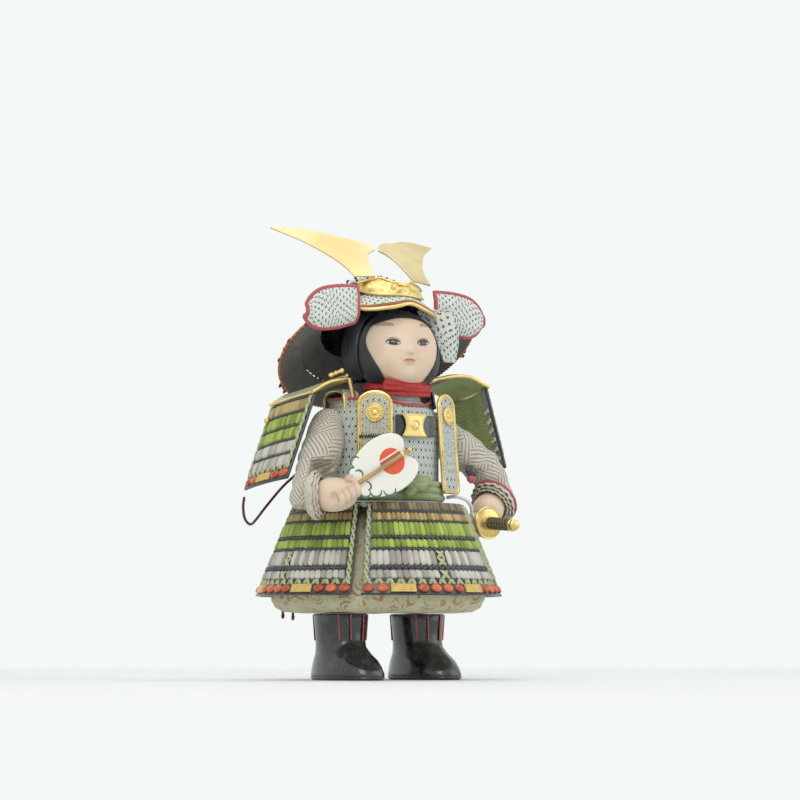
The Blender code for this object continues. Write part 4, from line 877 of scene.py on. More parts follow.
def visor_point(share, t, out=0.0):
    """The brim over the brow: share from -1 to 1 across it, t from its root to its rim."""
    angle = 44 * share
    drop = 18 * (1 - 0.35 * share ** 4) - 2.6 * exp(-(share / 0.22) ** 2)
    reach = 9 * (1 - 0.3 * share ** 2)
    bend = t + 0.16 * sin(pi * t)
    return polar(37.1 + reach * bend + out, angle, lerp(1.5, -drop, t) + 0.5 * out)


def build_visor():
    """The brim: patterned cloth with gilt piping at its edge and two lines of braid."""
    shape = Shape(HELMET)
    across = [i / 24 - 1 for i in range(49)]
    shape.slab(visor_point, across, shares(7), 0.0, 1.7)
    edge = [visor_point(s, 1.0, -0.4) for s in across]
    ends = [visor_point(-1, t, -0.6) for t in (0.15, 0.4, 0.65, 0.85)]
    other = [visor_point(1, t, -0.6) for t in (0.85, 0.65, 0.4, 0.15)]
    shape.tube(ends + edge + other, 1.25, 1, sides=10)
    shape.tube([visor_point(s, 0.9, 0.35) for s in across], 0.55, 2, sides=8)
    shape.tube([visor_point(s, 0.82, 0.3) for s in across], 0.4, 3, sides=8)
    shape.build("helmet_visor_cloth", [DASHED, GOLD, PIPING, GREEN], ["helmet_visor"])


def plate_edges(share):
    """Lowest and highest height of the crescent at a place across it."""
    top = 2.5 + 7.9 * min(1.0, abs(share) / 0.42) ** 2 - 3.0 * max(0.0, abs(share) - 0.62) ** 1.5
    lower = -7.5 + 13.6 * abs(share) ** 3.2
    return lower, max(top, lower + 0.8)


def plate_point(share, t, out=0.0):
    angle = 40 * share
    lower, top = plate_edges(share)
    z = lerp(top, lower, t)
    root = 37.4 + 9 * (1.5 - z) / 18
    lean = root + 5.2 * (1 - t) + 2.2
    return polar(lean + out, angle, z)


def build_horn_plate():
    """The embossed gilt crescent over the brow, with its studs."""
    shape = Shape(HELMET)
    across = [i / 36 - 1 for i in range(73)]

    def face(s, t, out):
        swell = 0.7 * sin(pi * t) * min(1.0, 4 * (1 - abs(s)))
        curl = 0.28 * sin(26 * s + 3 * t) * sin(pi * t) * sin(9 * t + 7 * s)
        return plate_point(s, t, out + (swell + curl if out > -0.5 else 0.0))

    shape.slab(face, across, shares(10), 0.0, 1.8)
    for t in (0.02, 0.98):
        shape.tube([plate_point(s, t, 0.15) for s in across], 0.85, 1, sides=8)
    for s in (-1, 1):
        shape.ball(plate_point(s, 0.5, 0), (1.0, 1.0, 1.0), 1)
    for s in (-0.22, 0.27):
        centre, out = plate_point(s, 0.42, 0.9), plate_point(s, 0.42, 3) - plate_point(s, 0.42, 0)
        axes = axes_matrix((0, 0, 0), out.cross(V(0, 0, 1)), V(0, 0, 1)).to_3x3()
        ring = [centre + axes @ V(2.5 * cos(a), 2.5 * sin(a), 0) for a in turns(20)]
        shape.tube(ring, 0.45, 1, sides=6, closed=True)
        shape.ball(centre, (1.9, 1.9, 1.1), 1, axes=axes)
        for k in range(8):
            a = pi * k / 4
            shape.ball(centre + axes @ V(1.5 * cos(a), 1.5 * sin(a), 0.5), (0.5, 0.5, 0.4), 1,
                       axes=axes, segments=8, rings=5)
    for k in range(-2, 3):
        shape.ball(plate_point(0.02 + 0.055 * k, 0.18, 0.9), (1.2, 0.8, 0.9 + 0.5 * (k == 0)), 1, segments=10)
    shape.build("horn_plate_tooled", [TOOLED, GOLD], ["horn_plate"], crisp=50)


HORN = [(-7, -1), (-8, 6), (-8.5, 13), (-10.5, 21), (-14, 26.5), (-19.5, 30), (-16, 36), (-9, 41.5), (4, 47),
        (16, 53), (30, 56), (46, 56.5), (30, 42), (18, 26), (12, 15), (9.5, 7), (8, -1)]
HORN_CORNERS = (0, 5, 11, 16)


def build_horn(side, sign):
    """One flat blade with a smooth outline and softened edges."""
    outline = []
    stops = list(HORN_CORNERS) + [17]
    for a, b in zip(stops, stops[1:]):
        part = [V(*HORN[i % 17], 0) for i in range(a, b + 1)]
        outline += smooth_path(part, 2 if b == 17 else 5 * (b - a))[:-1]
    sweep, lean = radians(9.5), radians(17.7)
    across = V(cos(sweep), sign * sin(sweep), 0)
    up = V(0, sin(lean), cos(lean))
    frame_at = axes_matrix(V(sign * 22.6, -37.3, 11.9), across, up)
    curve = bpy.data.curves.new(side + "_horn_outline", "CURVE")
    curve.dimensions, curve.fill_mode, curve.extrude, curve.bevel_depth = "2D", "BOTH", 0.25, 0.35
    curve.bevel_resolution = 2
    spline = curve.splines.new("POLY")
    spline.points.add(len(outline) - 1)
    for knot, p in zip(spline.points, outline):
        knot.co = (sign * p.x, p.y, 0, 1)
    spline.use_cyclic_u = True
    carrier = add_object("carrier", curve)
    mesh = bpy.data.meshes.new_from_object(carrier.evaluated_get(bpy.context.evaluated_depsgraph_get()))
    bpy.data.objects.remove(carrier)
    mesh.transform(HELMET @ frame_at)
    mesh.materials.clear()
    mesh.materials.append(HORN_GOLD)
    mesh.shade_smooth()
    mesh.set_sharp_from_angle(angle=radians(40))
    obj = add_object(f"{side}_horn_blade", mesh)
    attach(obj, "root")
    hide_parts(f"{side}_horn")


def guard_point(level, s, out=0.0):
    """The neck guard: level 0 at the bowl, 1 at the lap, 2 at its rim; s from 0 to 1 round it."""
    angle = 180 + (s - 0.5) * 220
    if level <= 1:
        r, z = lerp(35.6, 51, level), lerp(1.6, -8, level)
    else:
        r, z = lerp(51.3, 68, level - 1), lerp(-8.6, -16.5, level - 1)
    return polar(r + 0.45 * out, angle, z + out)


NECK_SPANS = shares(56)


def neck_at(s, depth, out):
    """A place on the neck guard: depth 0 at the bowl, 1 where its rings meet and 2 at its rim."""
    return guard_point(depth, s, out)


def build_neck_guard_upper():
    """The neck guard's upper ring: two rows of green lacing."""
    shape = Shape(HELMET)
    lame, lining, row = range(3)
    shape.slab(neck_at, NECK_SPANS, [0.0, 0.5, 1.0], 0.0, 1.6, lame, lining)
    lace_row(shape, neck_at, 0.03, 0.48, 46, row, 1.0, 0.2)
    teeth(shape, neck_at, 0.52, 0.09, 80, lame, 1.0)
    lace_row(shape, neck_at, 0.56, 1.0, 50, row, 1.1, 0.2)
    shape.build("neck_guard_upper_laced", [EDGE_BLACK, GREY, GREEN], ["neck_guard_upper"], 50)


def build_neck_guard_lower():
    """The neck guard's lower ring: a white row, an orange row and a plaited rim."""
    shape = Shape(HELMET)
    lame, lining, white, orange = range(4)
    shape.slab(neck_at, NECK_SPANS, [1.001, 1.5, 2.0], 0.0, 1.6, lame, lining)
    teeth(shape, neck_at, 1.06, 0.1, 84, lame, 1.0)
    lace_row(shape, neck_at, 1.10, 1.50, 58, white, 1.2, 0.2)
    teeth(shape, neck_at, 1.54, 0.09, 96, lame, 1.1)
    lace_row(shape, neck_at, 1.58, 1.90, 62, orange, 1.3, 0.2)
    rim = [guard_point(2.0, s, -0.6) for s in shares(110)]
    for i, (a, b) in enumerate(zip(rim, rim[1:])):
        turn = axes_matrix((0, 0, 0), b - a + V(0, 0, 0.9), V(0, 0, 1)).to_3x3()
        shape.ball((a + b) / 2, (1.15, 0.95, 1.55), orange, axes=turn, tone=0.3 + 0.4 * (i % 2),
                   segments=8, rings=5)
    shape.build("neck_guard_lower_laced", [EDGE_BLACK, GREY, WHITE_SILK, ORANGE_SILK],
                ["neck_guard_lower"], 50)


def build_side_flap():
    """The patterned cloth that hangs between the brim and the left turnback, beside the face."""
    edges = ((246, 26, 50), (236, 31, 53), (223.5, 40, 53), (211.8, 44, 51))
    front, back = [], []
    for z, inner, outer in edges:
        across = [lerp(inner, outer, k / 8) for k in range(9)]
        front.append([V(0.82 * u - 0.9, -0.57 * u - 1.2 - 1.2 * sin(pi * k / 8), z)
                      for k, u in enumerate(across)])
        back.append([p + V(0.7, 1.1, 0) for p in front[-1]])
    shape = Shape()
    shape.grid(front, 0, flip=True)
    shape.grid(back, 1)
    rim = [row[0] for row in front] + front[-1][1:-1] + [row[-1] for row in front[::-1]] + front[0][-2:0:-1]
    shape.tube(rim, 0.7, 0, sides=8, closed=True)
    flap = shape.build("left_side_flap_cloth", [DASHED, GREY], [], 45)


def turnback_point(s, v, sign, out=0.0):
    """The turned-back end: s from its inner to its outer edge, v from -1 below to 1 above."""
    x = lerp(31.5, 71, s)
    edge = max(0.0, min(1.0, (s - 0.60) / 0.42))
    half = 13.5 * (0.86 + 0.14 * sin(pi * s)) * sqrt(max(0.0, 1 - edge ** 2.4))
    y = -22.6 - 1.2 * sin(pi * s)
    y += 1.8 * max(0.0, (v - 0.45) / 0.55) ** 1.5 + 4.2 * max(0.0, (-v - 0.5) / 0.5) ** 1.6
    return V(sign * x, y - out, 247 - 6 * s + v * half)


def build_turnback(side, sign):
    """One turned-back end of the neck guard, covered with patterned cloth."""
    shape = Shape()
    spans = shares(20)
    levels = [1 - i / 8 for i in range(17)]
    at = lambda s, v, out: turnback_point(s, v, sign, out)
    face = [[at(s, v, 0) for s in spans] for v in levels]
    back = [[at(s, v, -1.8) for s in spans] for v in levels]
    shape.grid(face, 0, flip=sign > 0)
    shape.grid(back, 1, flip=sign < 0)
    edge = ([at(s, 1, -0.9) for s in spans] + [at(1, v, -0.9) for v in levels[1:-1]]
            + [at(s, -1, -0.9) for s in spans[::-1]] + [at(0, v, -0.9) for v in levels[::-1][1:-1]])
    shape.tube(smooth_path(edge, 90, closed=True), 1.5, 2, sides=10, closed=True)
    shape.build(f"{side}_turnback_cloth", [DASHED, GREY, PIPING], [f"{side}_turnback"], 45)


# Shoulder guards

def guard_surface(sign, top_x, top_z, hem_x, hem_z, front_y, back_y, drop):
    """The outer face of a shoulder guard: s from its front to its back edge."""
    slope = (hem_x - top_x) / (top_z - hem_z)

    def at(s, z, out):
        bow = 3.0 * (1 - (2 * s - 1) ** 2)
        x = top_x + bow + (top_z - z) * slope + out
        return V(sign * x, lerp(front_y, back_y, s), z - drop * s)
    return at


def crown_section(points, count):
    path = smooth_path([V(x, z, 0) for x, z in points], count)
    normals = []
    for i in range(count):
        along = (path[min(i + 1, count - 1)] - path[max(i - 1, 0)]).normalized()
        normals.append(V(-along.y, along.x, 0))
    return path, normals


def build_shoulder_rows(side, sign, size):
    """A shoulder guard's laced rows, plaited ends and beaded foot."""
    _, top_z, _, hem_z, _, _, _ = size
    at = guard_surface(sign, *size)
    turn_over = sign < 0

    def face(s, z, out):
        return at(1 - s if turn_over else s, z, out)

    silks = [EDGE_BLACK, LINING, GOLD_SILK, GREEN, WHITE_SILK, KNOT_SILK, BEAD, BLOCK, GOLD]
    lame, lining, gold, green, white, knot, beads, blocks, gilded = range(9)
    shape = Shape()
    spans = shares(12)
    board_top = hem_z + 8
    shape.slab(face, spans, [top_z, lerp(top_z, hem_z, 0.33), lerp(top_z, hem_z, 0.66), hem_z], 0.0, 1.8, lame, lining)
    pitch = (top_z - board_top - 0.3) / 5
    inner = (0.06, 0.94)
    for i, slot in enumerate((gold, green, green, white, white)):
        top = top_z - i * pitch
        teeth(shape, face, top - 0.7, 1.5, 34, lame, 1.1, span=inner)
        lace_row(shape, face, top - 1.3, top - pitch + 0.2, 17, slot, 1.35, 0.35, inner)
    for s in (0.03, 0.97):
        edge_braid(shape, face, s, top_z, board_top, 8, knot, 0.028)
    knots(shape, face, board_top + 0.2, 8, knot, 0.035)
    bead_board(shape, face, "oo=oo", board_top - 1.0, hem_z + 0.8, beads, blocks, 1.8)
    for s in (0.0, 1.0):
        shape.tube([face(s, z, -0.8) for z in (top_z, lerp(top_z, hem_z, 0.5), hem_z)], 1.05, lame, sides=8)
    shape.tube([face(s, hem_z, -0.8) for s in spans], 1.05, lame, sides=8)
    if sign > 0:
        shape.slab(face, (0, 0.07, 0.14), [lerp(top_z, hem_z, k) for k in shares(6)], -1.9, 0.7, lame)
        for k in range(6):
            z = lerp(top_z - 14, hem_z + 6, k / 5)
            shape.ball(face(0.035, z, -3.0), (1.0, 1.5, 1.9), knot, segments=10, rings=6)
            shape.ball(face(0.11, z - 0.8, -3.0), (1.0, 1.4, 1.8), gilded if k % 2 else white, segments=10, rings=6)
    shape.build(f"{side}_shoulder_guard_laced", silks,
                [f"{side}_shoulder_rows", f"{side}_shoulder_board"], crisp=55)


def build_shoulder_crown(side, sign, size, crown):
    """A shoulder guard's curved crown, covered with cloth and edged with gilt piping."""
    _, _, _, _, front_y, back_y, drop = size
    cloth_slot, lining, gilded, maroon = range(4)
    shape = Shape()
    path, normals = crown_section(crown, 15)
    rows_top, rows_low = [], []
    for i, (p, n) in enumerate(zip(path, normals)):
        thick = lerp(4.4, 2.0, min(1.0, i / 3))
        top, low = [], []
        for s in shares(12):
            y = lerp(front_y, back_y, s)
            fall = drop * s
            top.append(V(sign * (p.x + n.x * thick), y, p.y + n.y * thick - fall))
            low.append(V(sign * p.x, y, p.y - fall))
        rows_top.append(top)
        rows_low.append(low)
    shape.grid(rows_top, cloth_slot, flip=sign < 0)
    shape.grid(rows_low, lining, flip=sign > 0)
    if sign > 0:
        shape.grid([[p - V(0, 0, 0.25) for p in row] for row in rows_low[:6]], maroon, flip=True)
    for column in (0, -1):
        shape.grid([[row[column] for row in rows_top], [row[column] for row in rows_low]], cloth_slot)
    for row in (0, -1):
        shape.grid([rows_top[row], rows_low[row]], cloth_slot)
    for column in (0, -1):
        rim = [(a[column] + b[column]) / 2 for a, b in zip(rows_top, rows_low)]
        shape.tube(rim, 1.35, gilded, sides=8)
    shape.tube([(a + b) / 2 for a, b in zip(rows_top[-1], rows_low[-1])], 1.2, gilded, sides=8)
    shape.tube([a + V(0, 0, 0.2) for a in rows_top[0]], 1.0, gilded, sides=8)
    shape.build(f"{side}_shoulder_crown_cloth", [SMALL_DIAMOND, LINING, GOLD, MAROON_SILK],
                [f"{side}_shoulder_crown"], crisp=50)


RIGHT_GUARD = (60, 187, 81.5, 132, -12.5, 38, 6)
LEFT_GUARD = (81, 196, 97, 144, -12, 30, 8)
RIGHT_CROWN = [(34, 196), (41, 196), (50, 193.5), (61, 187.6)]
LEFT_CROWN = [(34, 197.4), (44, 201), (56, 203), (68, 202.4), (82, 196.6)]


# Sleeves, cuffs and hands

def sleeve_rings(path, steps, sides, seed):
    """Rings down a sleeve, with soft folds that crowd at the elbow and the wrist."""
    points = smooth_path([V(*p[:3]) for p in path], steps)
    radii_line = smooth_path([V(p[3], 0, i) for i, p in enumerate(path)], 40)
    rings, side = [], None
    for i, p in enumerate(points):
        along = (points[min(i + 1, steps - 1)] - points[max(i - 1, 0)]).normalized()
        side = along.orthogonal().normalized() if side is None else (side - along * side.dot(along)).normalized()
        over = side.cross(along)
        share = i / (steps - 1)
        radius = radii_line[min(39, int(share * 39.99))].x
        ring = []
        for k in range(sides):
            a = 2 * pi * k / sides
            out = side * cos(a) + over * sin(a)
            spot = p * 0.055 + out * 0.75
            fold = noise.noise(V(spot.x + seed, spot.y, spot.z)) * 1.5
            fold += noise.noise(V(a * 0.9, share * 9 + seed, 3.1)) * 0.9
            fold += 0.5 * sin(share * 44 + 1.4 * sin(a + seed)) * (0.35 + share)
            ring.append(p + out * (radius - 0.9 + fold))
        rings.append(ring)
    return rings


TRUNK_RADIUS = 41.0
ARMPIT_Z = 172
WRIST_REACH = 26


def clear_of_trunk(point):
    """Push a point out of the trunk, below the shoulders."""
    flat = V(point.x, point.y, 0)
    if point.z < ARMPIT_Z and flat.length < TRUNK_RADIUS:
        flat = flat.normalized() * TRUNK_RADIUS
        return V(flat.x, flat.y, point.z)
    return point


def behind_cuff(point, wrist, axis):
    """Push a point back over the wrist, to where the cuff begins."""
    ahead = (point - wrist).dot(axis)
    near = (point - wrist - axis * ahead).length
    return point - axis * (ahead + 0.6) if ahead > -0.6 and near < WRIST_REACH else point


def build_sleeve(side, path, wrist, axis, seed):
    """A soft sleeve that keeps clear of the trunk and ends behind its cuff."""
    wrist, axis = Vector(wrist), Vector(axis).normalized()
    shape = Shape()
    shape.loft([[behind_cuff(clear_of_trunk(p), wrist, axis) for p in ring]
                for ring in sleeve_rings(path, 46, 40, seed)])
    sleeve = shape.build(f"{side}_sleeve_cloth", [FRET], [f"{side}_sleeve"], crisp=75, subdivide=1)


def build_cuff(side, wrist, axis, piping):
    """Three gathered frills of ivory cloth round the hand."""
    place = Matrix.Translation(wrist) @ Vector(axis).normalized().to_track_quat("Z", "Y").to_matrix().to_4x4()
    shape = Shape()
    count = 120
    disc = [[place @ V(r * cos(a), r * sin(a), 0.5) for a in turns(40)]
            for r in (0.3, 6, 12.4)]
    shape.grid(disc, 0, wrap=True)
    for start, end, low, high, waves, depth in ((-0.6, 5.2, 12.4, 15.9, 17, 0.6), (1.4, 7.0, 11.6, 14.3, 21, 0.5),
                                               (3.2, 8.4, 10.6, 12.8, 24, 0.4)):
        rows = []
        for t in (0, 0.25, 0.5, 0.75, 1.0):
            row = []
            for k in range(count):
                a = 2 * pi * k / count
                r = lerp(low, high, sin(t * pi * 0.62)) + depth * t * sin(waves * a + start)
                row.append(place @ V(r * cos(a), r * sin(a), lerp(start, end, t)
                                     + 0.3 * t * sin(waves * a * 0.5)))
            rows.append(row)
        shape.grid(rows, 0, wrap=True)
        inside = [[place @ ((place.inverted() @ p) * 0.965) for p in row] for row in rows]
        shape.grid(inside, 0, wrap=True, flip=True)
        shape.grid([rows[-1], inside[-1]], 0, wrap=True)
    if piping:
        ring = [place @ V(15.6 * cos(a), 15.6 * sin(a), 1.2) for a in
                turns(60)]
        shape.tube(ring, 0.9, 1, sides=8, closed=True)
    cuff = shape.build(f"{side}_cuff_frills", [CUFF, PIPING], [f"{side}_cuff"], crisp=75)


RIGHT_ARM = [(-38, -2, 172, 11), (-44, -4, 166, 13), (-52, -10, 153, 14), (-62, -17, 138, 14.5),
             (-70.5, -21.5, 127, 13.3), (-75, -24, 120, 12.5), (-76, -26, 112, 9)]
LEFT_ARM = [(38, -2, 172, 11), (45, -2, 167, 13), (60, -4, 157, 14.5), (77, -9, 144, 14), (87, -12, 133, 13),
            (89, -13, 125, 12.5), (90, -14, 117, 9)]
RIGHT_WRIST, RIGHT_AXIS = (-74, -29, 119.5), (0.67, -0.74, 0.03)
LEFT_WRIST, LEFT_AXIS = (85, -16, 121), (-0.75, -0.33, -0.55)


# Trousers and boots

def build_trousers():
    """Full trousers, drawn in above the boots in soft uneven folds."""
    levels = ((44.3, 0.52, 0.5), (44.5, 0.72, 0.8), (45.6, 0.88, 1.2), (48.5, 0.955, 1.5), (53, 0.99, 1.5),
              (60, 1.0, 1.2), (72, 0.95, 0.8), (86, 0.84, 0.5), (100, 0.73, 0.2), (112, 0.65, 0.0))
    rows = []
    for z, share, fold in levels:
        row = []
        for k in range(192):
            a = 360 * k / 192
            t = radians(a)
            wave = sin(17 * t + 1.3 * sin(3 * t) + z * 0.02) + 0.5 * sin(31 * t + z * 0.05)
            wave += 1.6 * noise.noise(V(sin(t) * 4, cos(t) * 4, z * 0.09))
            row.append(polar(71 * share + fold * wave, a, z + 0.5 * fold * sin(9 * t)))
        rows.append(row)
    shape = Shape()
    shape.loft(rows, 0)
    shape.build("hakama_cloth", [BROCADE], ["hakama"], crisp=75)


def boxy(t):
    """A cosine with broad shoulders, for outlines between an ellipse and a box."""
    return copysign(abs(cos(t)) ** 0.8, cos(t))


def build_boot(side, x):
    """A black boot with a round toe, on its flat sole."""
    half, length, height = 17, 64, 43.7
    levels = ((0.0, 0.97, 0.985, 0.0), (0.03, 1.02, 1.01, 0.0), (0.09, 1.03, 1.02, 0.0), (0.2, 1.0, 0.95, 0.015),
              (0.3, 0.97, 0.85, 0.04), (0.4, 0.9, 0.7, 0.08), (0.5, 0.86, 0.6, 0.12), (0.6, 0.88, 0.565, 0.13),
              (0.72, 0.92, 0.56, 0.13), (0.86, 0.96, 0.57, 0.13), (0.97, 0.99, 0.575, 0.13), (1.0, 0.97, 0.565, 0.13))
    rows = []
    for h, wide, long, back in levels:
        rows.append([V(x + half * wide * boxy(t), length / 2 * long * sin(t) + length * back - 9, h * height)
                     for t in turns(48)])
    shape = Shape()
    shape.loft(rows, 0)
    sole = [V(x + 17.3 * boxy(t), 32.3 * sin(t) - 9, 1.7) for t in turns(64)]
    shape.tube(sole, 0.5, 1, sides=6, closed=True)
    for t in (radians(a) for a in (-128, -100, -72, -44, 44, 136)):
        line = []
        for h in (0.60, 0.70, 0.80, 0.90, 0.985):
            across = half * lerp(0.88, 0.985, (h - 0.6) / 0.385) * boxy(t)
            line.append(V(x + across * 1.01, length / 2 * 0.57 * sin(t) * 1.015 + length * 0.13 - 9, h * height))
        shape.tube(smooth_path(line, 12), 1.35, 2, sides=8, flat=0.35)
    shape.build(f"{side}_boot_lacquered", [BLACK, EDGE_BLACK, PIPING], [f"{side}_boot"], crisp=50)


# Trunk, chest pieces and sash

def build_trunk():
    """The trunk in patterned cloth, its cloth shoulder straps and their gold rims."""
    profile = [(24, 184), (30, 183), (33, 182), (38, 177.5), (39.6, 174), (40, 171), (40, 155), (40, 140), (40, 128),
               (40, 118), (44, 117.2), (53.3, 116), (53.3, 112.6)]
    rows = [[polar(r, 360 * k / 96, z) for k in range(97)] for r, z in profile]
    shape = Shape()
    shape.grid(rows, 0, flip=True)
    shape.grid([[V(0, 0, 184)] * 97, rows[0]], 1, flip=True)
    for sign in (-1, 1):
        outline = [V(sign * 30 + 5.6 * x, 0, 0) for x in (-1, 1)]
        arch = [(-11.5, 170), (-12.8, 180), (-12.4, 187), (-9.5, 190.6), (-4, 191.9),
                (4, 191.9), (9.5, 190.6), (12.4, 187), (12.8, 180), (11.5, 170)]
        path = smooth_path([V(0, y, z) for y, z in arch], 30)
        top = [[V(outline[j].x, p.y, p.z) for p in path] for j in (0, 1)]
        low = [[V(outline[j].x, p.y * 0.84, p.z - 2.2) for p in path] for j in (0, 1)]
        shape.grid(top, 2)
        shape.grid(low, 1, flip=True)
        for j in (0, 1):
            shape.grid([top[j], low[j]], 2)
            shape.tube([(a + b) / 2 for a, b in zip(top[j], low[j])], 0.95, 3, sides=8)
    spread = [abs((a + 170) % 360 - 180) for a in range(0, 360, 4)]
    rim = [polar(34.9, 4 * k, 180.6 + 4.6 * min(1.0, d / 38) ** 2) for k, d in enumerate(spread)]
    shape.tube(rim, 1.15, 4, sides=8, closed=True)
    shape.grid([rim, [polar(34.8, 4 * k, 179.8) for k in range(90)]], 2, wrap=True)
    shape.build("cuirass_cloth", [DIAMOND, GREY, SMALL_DIAMOND, GOLD, PIPING],
                ["cuirass"], crisp=50)


def build_chest_plate():
    """A black lacquered band across the chest, with a gold plaque of two waisted halves."""
    shape = Shape()
    spans = shares(30)

    def face(s, z, out):
        return polar(40.3 + 1.6 + out, lerp(-19, 27, s), z)

    shape.slab(face, spans, [174, 173.2, 167, 160.8, 160], 0.0, 1.5, 0)
    for z in (173.4, 160.6):
        shape.tube([face(s, z, 0.1) for s in spans], 0.45, 1, sides=6)
    shape.build("chest_plate_lacquered", [BLACK, EDGE_BLACK], ["chest_plate"], crisp=40)

    shape = Shape()
    rows = []
    for j in range(15):
        v = j / 7 - 1
        half = 6.5 + 3.0 * abs(v) ** 2.2
        row = []
        for i in range(21):
            u = i / 10 - 1
            dome = 0.3 * (1 - u * u) * (1 - v * v) - 0.35 * max(0.0, abs(u) - 0.86) / 0.14
            row.append(V(-1 + u * half, -43.2 - dome - 0.45, 167 + v * 6.9))
        rows.append(row)
    shape.grid(rows, 0)
    back = [[V(p.x, -42.4, p.z) for p in row] for row in rows]
    shape.grid(back, 0, flip=True)
    for a, b in ((rows[0], back[0]), (rows[-1], back[-1]), ([r[0] for r in rows], [r[0] for r in back]),
                 ([r[-1] for r in rows], [r[-1] for r in back])):
        shape.grid([a, b], 0)
    rim = [r[0] for r in rows] + rows[-1][1:-1] + [r[-1] for r in rows][::-1] + rows[0][1:-1][::-1]
    shape.tube([p + V(0, 0.1, 0) for p in rim], 0.5, 0, sides=6, closed=True)
    shape.ball((-1, -43.9, 167), (2.9, 1.0, 2.9), 0, segments=20, rings=9)
    ring = [V(-1 + 3.3 * cos(a), -44.0, 167 + 3.3 * sin(a)) for a in turns(28)]
    shape.tube(ring, 0.35, 0, sides=6, closed=True)
    shape.build("chest_plaque_gilt", [GOLD], ["chest_plaque"], crisp=40)


CHEST_RADIUS = 40.3
CHEST_GUARD_TOP_Z = 189


def guard_frame(angle, shift, bottom):
    """A chest guard's frame: X across it, Y up and Z out from its back face."""
    out = polar(1, angle, 0)
    across = V(-out.y, out.x, 0)
    foot = CHEST_RADIUS + (4.5 if bottom < 131 else 0)
    head = out * CHEST_RADIUS + V(0, 0, CHEST_GUARD_TOP_Z)
    origin = out * foot + V(0, 0, bottom)
    frame = axes_matrix(origin + across * shift, across, head - origin)
    if polar(1, angle, 0).dot(frame.to_3x3() @ V(0, 0, 1)) < 0:
        frame = frame @ Matrix.Diagonal((1, 1, -1, 1))
    return frame


def arch_outline(half, height):
    """A board with an arched head and rounded lower corners, from its right foot round to the left."""
    arch, corner = half * 0.75, 2.5
    points = [V(half * cos(pi * k / 28), height - arch + arch * sin(pi * k / 28), 0) for k in range(29)]
    for middle, first in ((corner - half, 1), (half - corner, 1.5)):
        for k in range(7):
            a = pi * (first + k / 12)
            points.append(V(middle + corner * cos(a), corner + corner * sin(a), 0))
    return points


def rosette(shape, centre, frame, slot):
    """A flower boss of sixteen petals round a domed heart, in a round rim."""
    turn = frame.to_3x3()
    rows = []
    for r, z in ((0.01, 1.75), (1.0, 1.7), (1.7, 1.35), (2.0, 0.8), (2.4, 0.9), (3.4, 1.5), (4.6, 1.35), (5.3, 0.75),
                 (5.6, 0.6), (6.0, 0.5), (6.1, 0.0)):
        row = []
        for k in range(96):
            a = 2 * pi * k / 96
            petal = abs(cos(8 * a)) if 2.2 < r < 5.4 else 1.0
            row.append(centre + turn @ V(r * cos(a), r * sin(a), z * (0.55 + 0.45 * petal)))
        rows.append(row)
    shape.grid(rows, slot, wrap=True)
    ring = [centre + turn @ V(5.6 * cos(a), 5.6 * sin(a), 0.6) for a in
            turns(48)]
    shape.tube(ring, 0.5, slot, sides=6, closed=True)


def build_chest_guard(side, angle, shift, bottom, cloth_slot):
    """A cloth-covered board with an arched head, edged with piping, and its rosette."""
    frame = guard_frame(angle, shift, bottom)
    height = CHEST_GUARD_TOP_Z - bottom
    outline = arch_outline(10.7, height - 0.2)
    inner = arch_outline(9.1, height - 2.2)
    inner = [p + V(0, 0.9, 0) for p in inner]
    shape = Shape()
    middle = V(0, height / 2, 0)
    for z, flip in ((1.75, False), (0.1, True)):
        layers = [[frame @ (middle + (p - middle) * k + V(0, 0, z)) for p in outline]
                  for k in (0.001, 0.3, 0.6, 0.85, 1.0)]
        shape.grid(layers, 1 if flip else 0, wrap=True, flip=flip)
    edge = [[frame @ (p + V(0, 0, z)) for p in outline] for z in (0.1, 1.75)]
    shape.grid(edge, 1, wrap=True)
    shape.tube([frame @ (p + V(0, 0, 1.3)) for p in outline], 1.2, 2, sides=8, closed=True)
    shape.tube([frame @ (p + V(0, 0, 1.9)) for p in inner], 0.35, 2, sides=6, closed=True)
    if side == "right":
        band = height - 29.5
        zigzag = [frame @ V(-9.6 + 19.2 * k / 24, band + (1.1 if k % 2 else -1.1), 2.2) for k in range(25)]
        shape.tube(zigzag, 0.75, 3, sides=6)
        for k, x in enumerate((-7, -2.4, 2.4, 7)):
            shape.ball(frame @ V(x, band - 5.0, 2.4), (2.4, 2.2, 1.1), 4 if k % 2 else 5, axes=frame.to_3x3(),
                       segments=14, rings=7)
        shape.ball(frame @ V(-4.6, band - 6.5, 3.2), (2.2, 2.2, 1.2), 2, axes=frame.to_3x3(), segments=14, rings=7)
    shape.build(f"{side}_chest_guard_cloth", [cloth_slot, GREY, GOLD, BLACK, GREEN, KNOT_SILK],
                [f"{side}_chest_guard"], crisp=45)
    shape = Shape()
    rosette(shape, frame @ V(0, height - 14, 2.3), frame, 0)
    shape.build(f"{side}_rosette_chased", [GOLD], [f"{side}_rosette"], crisp=40)


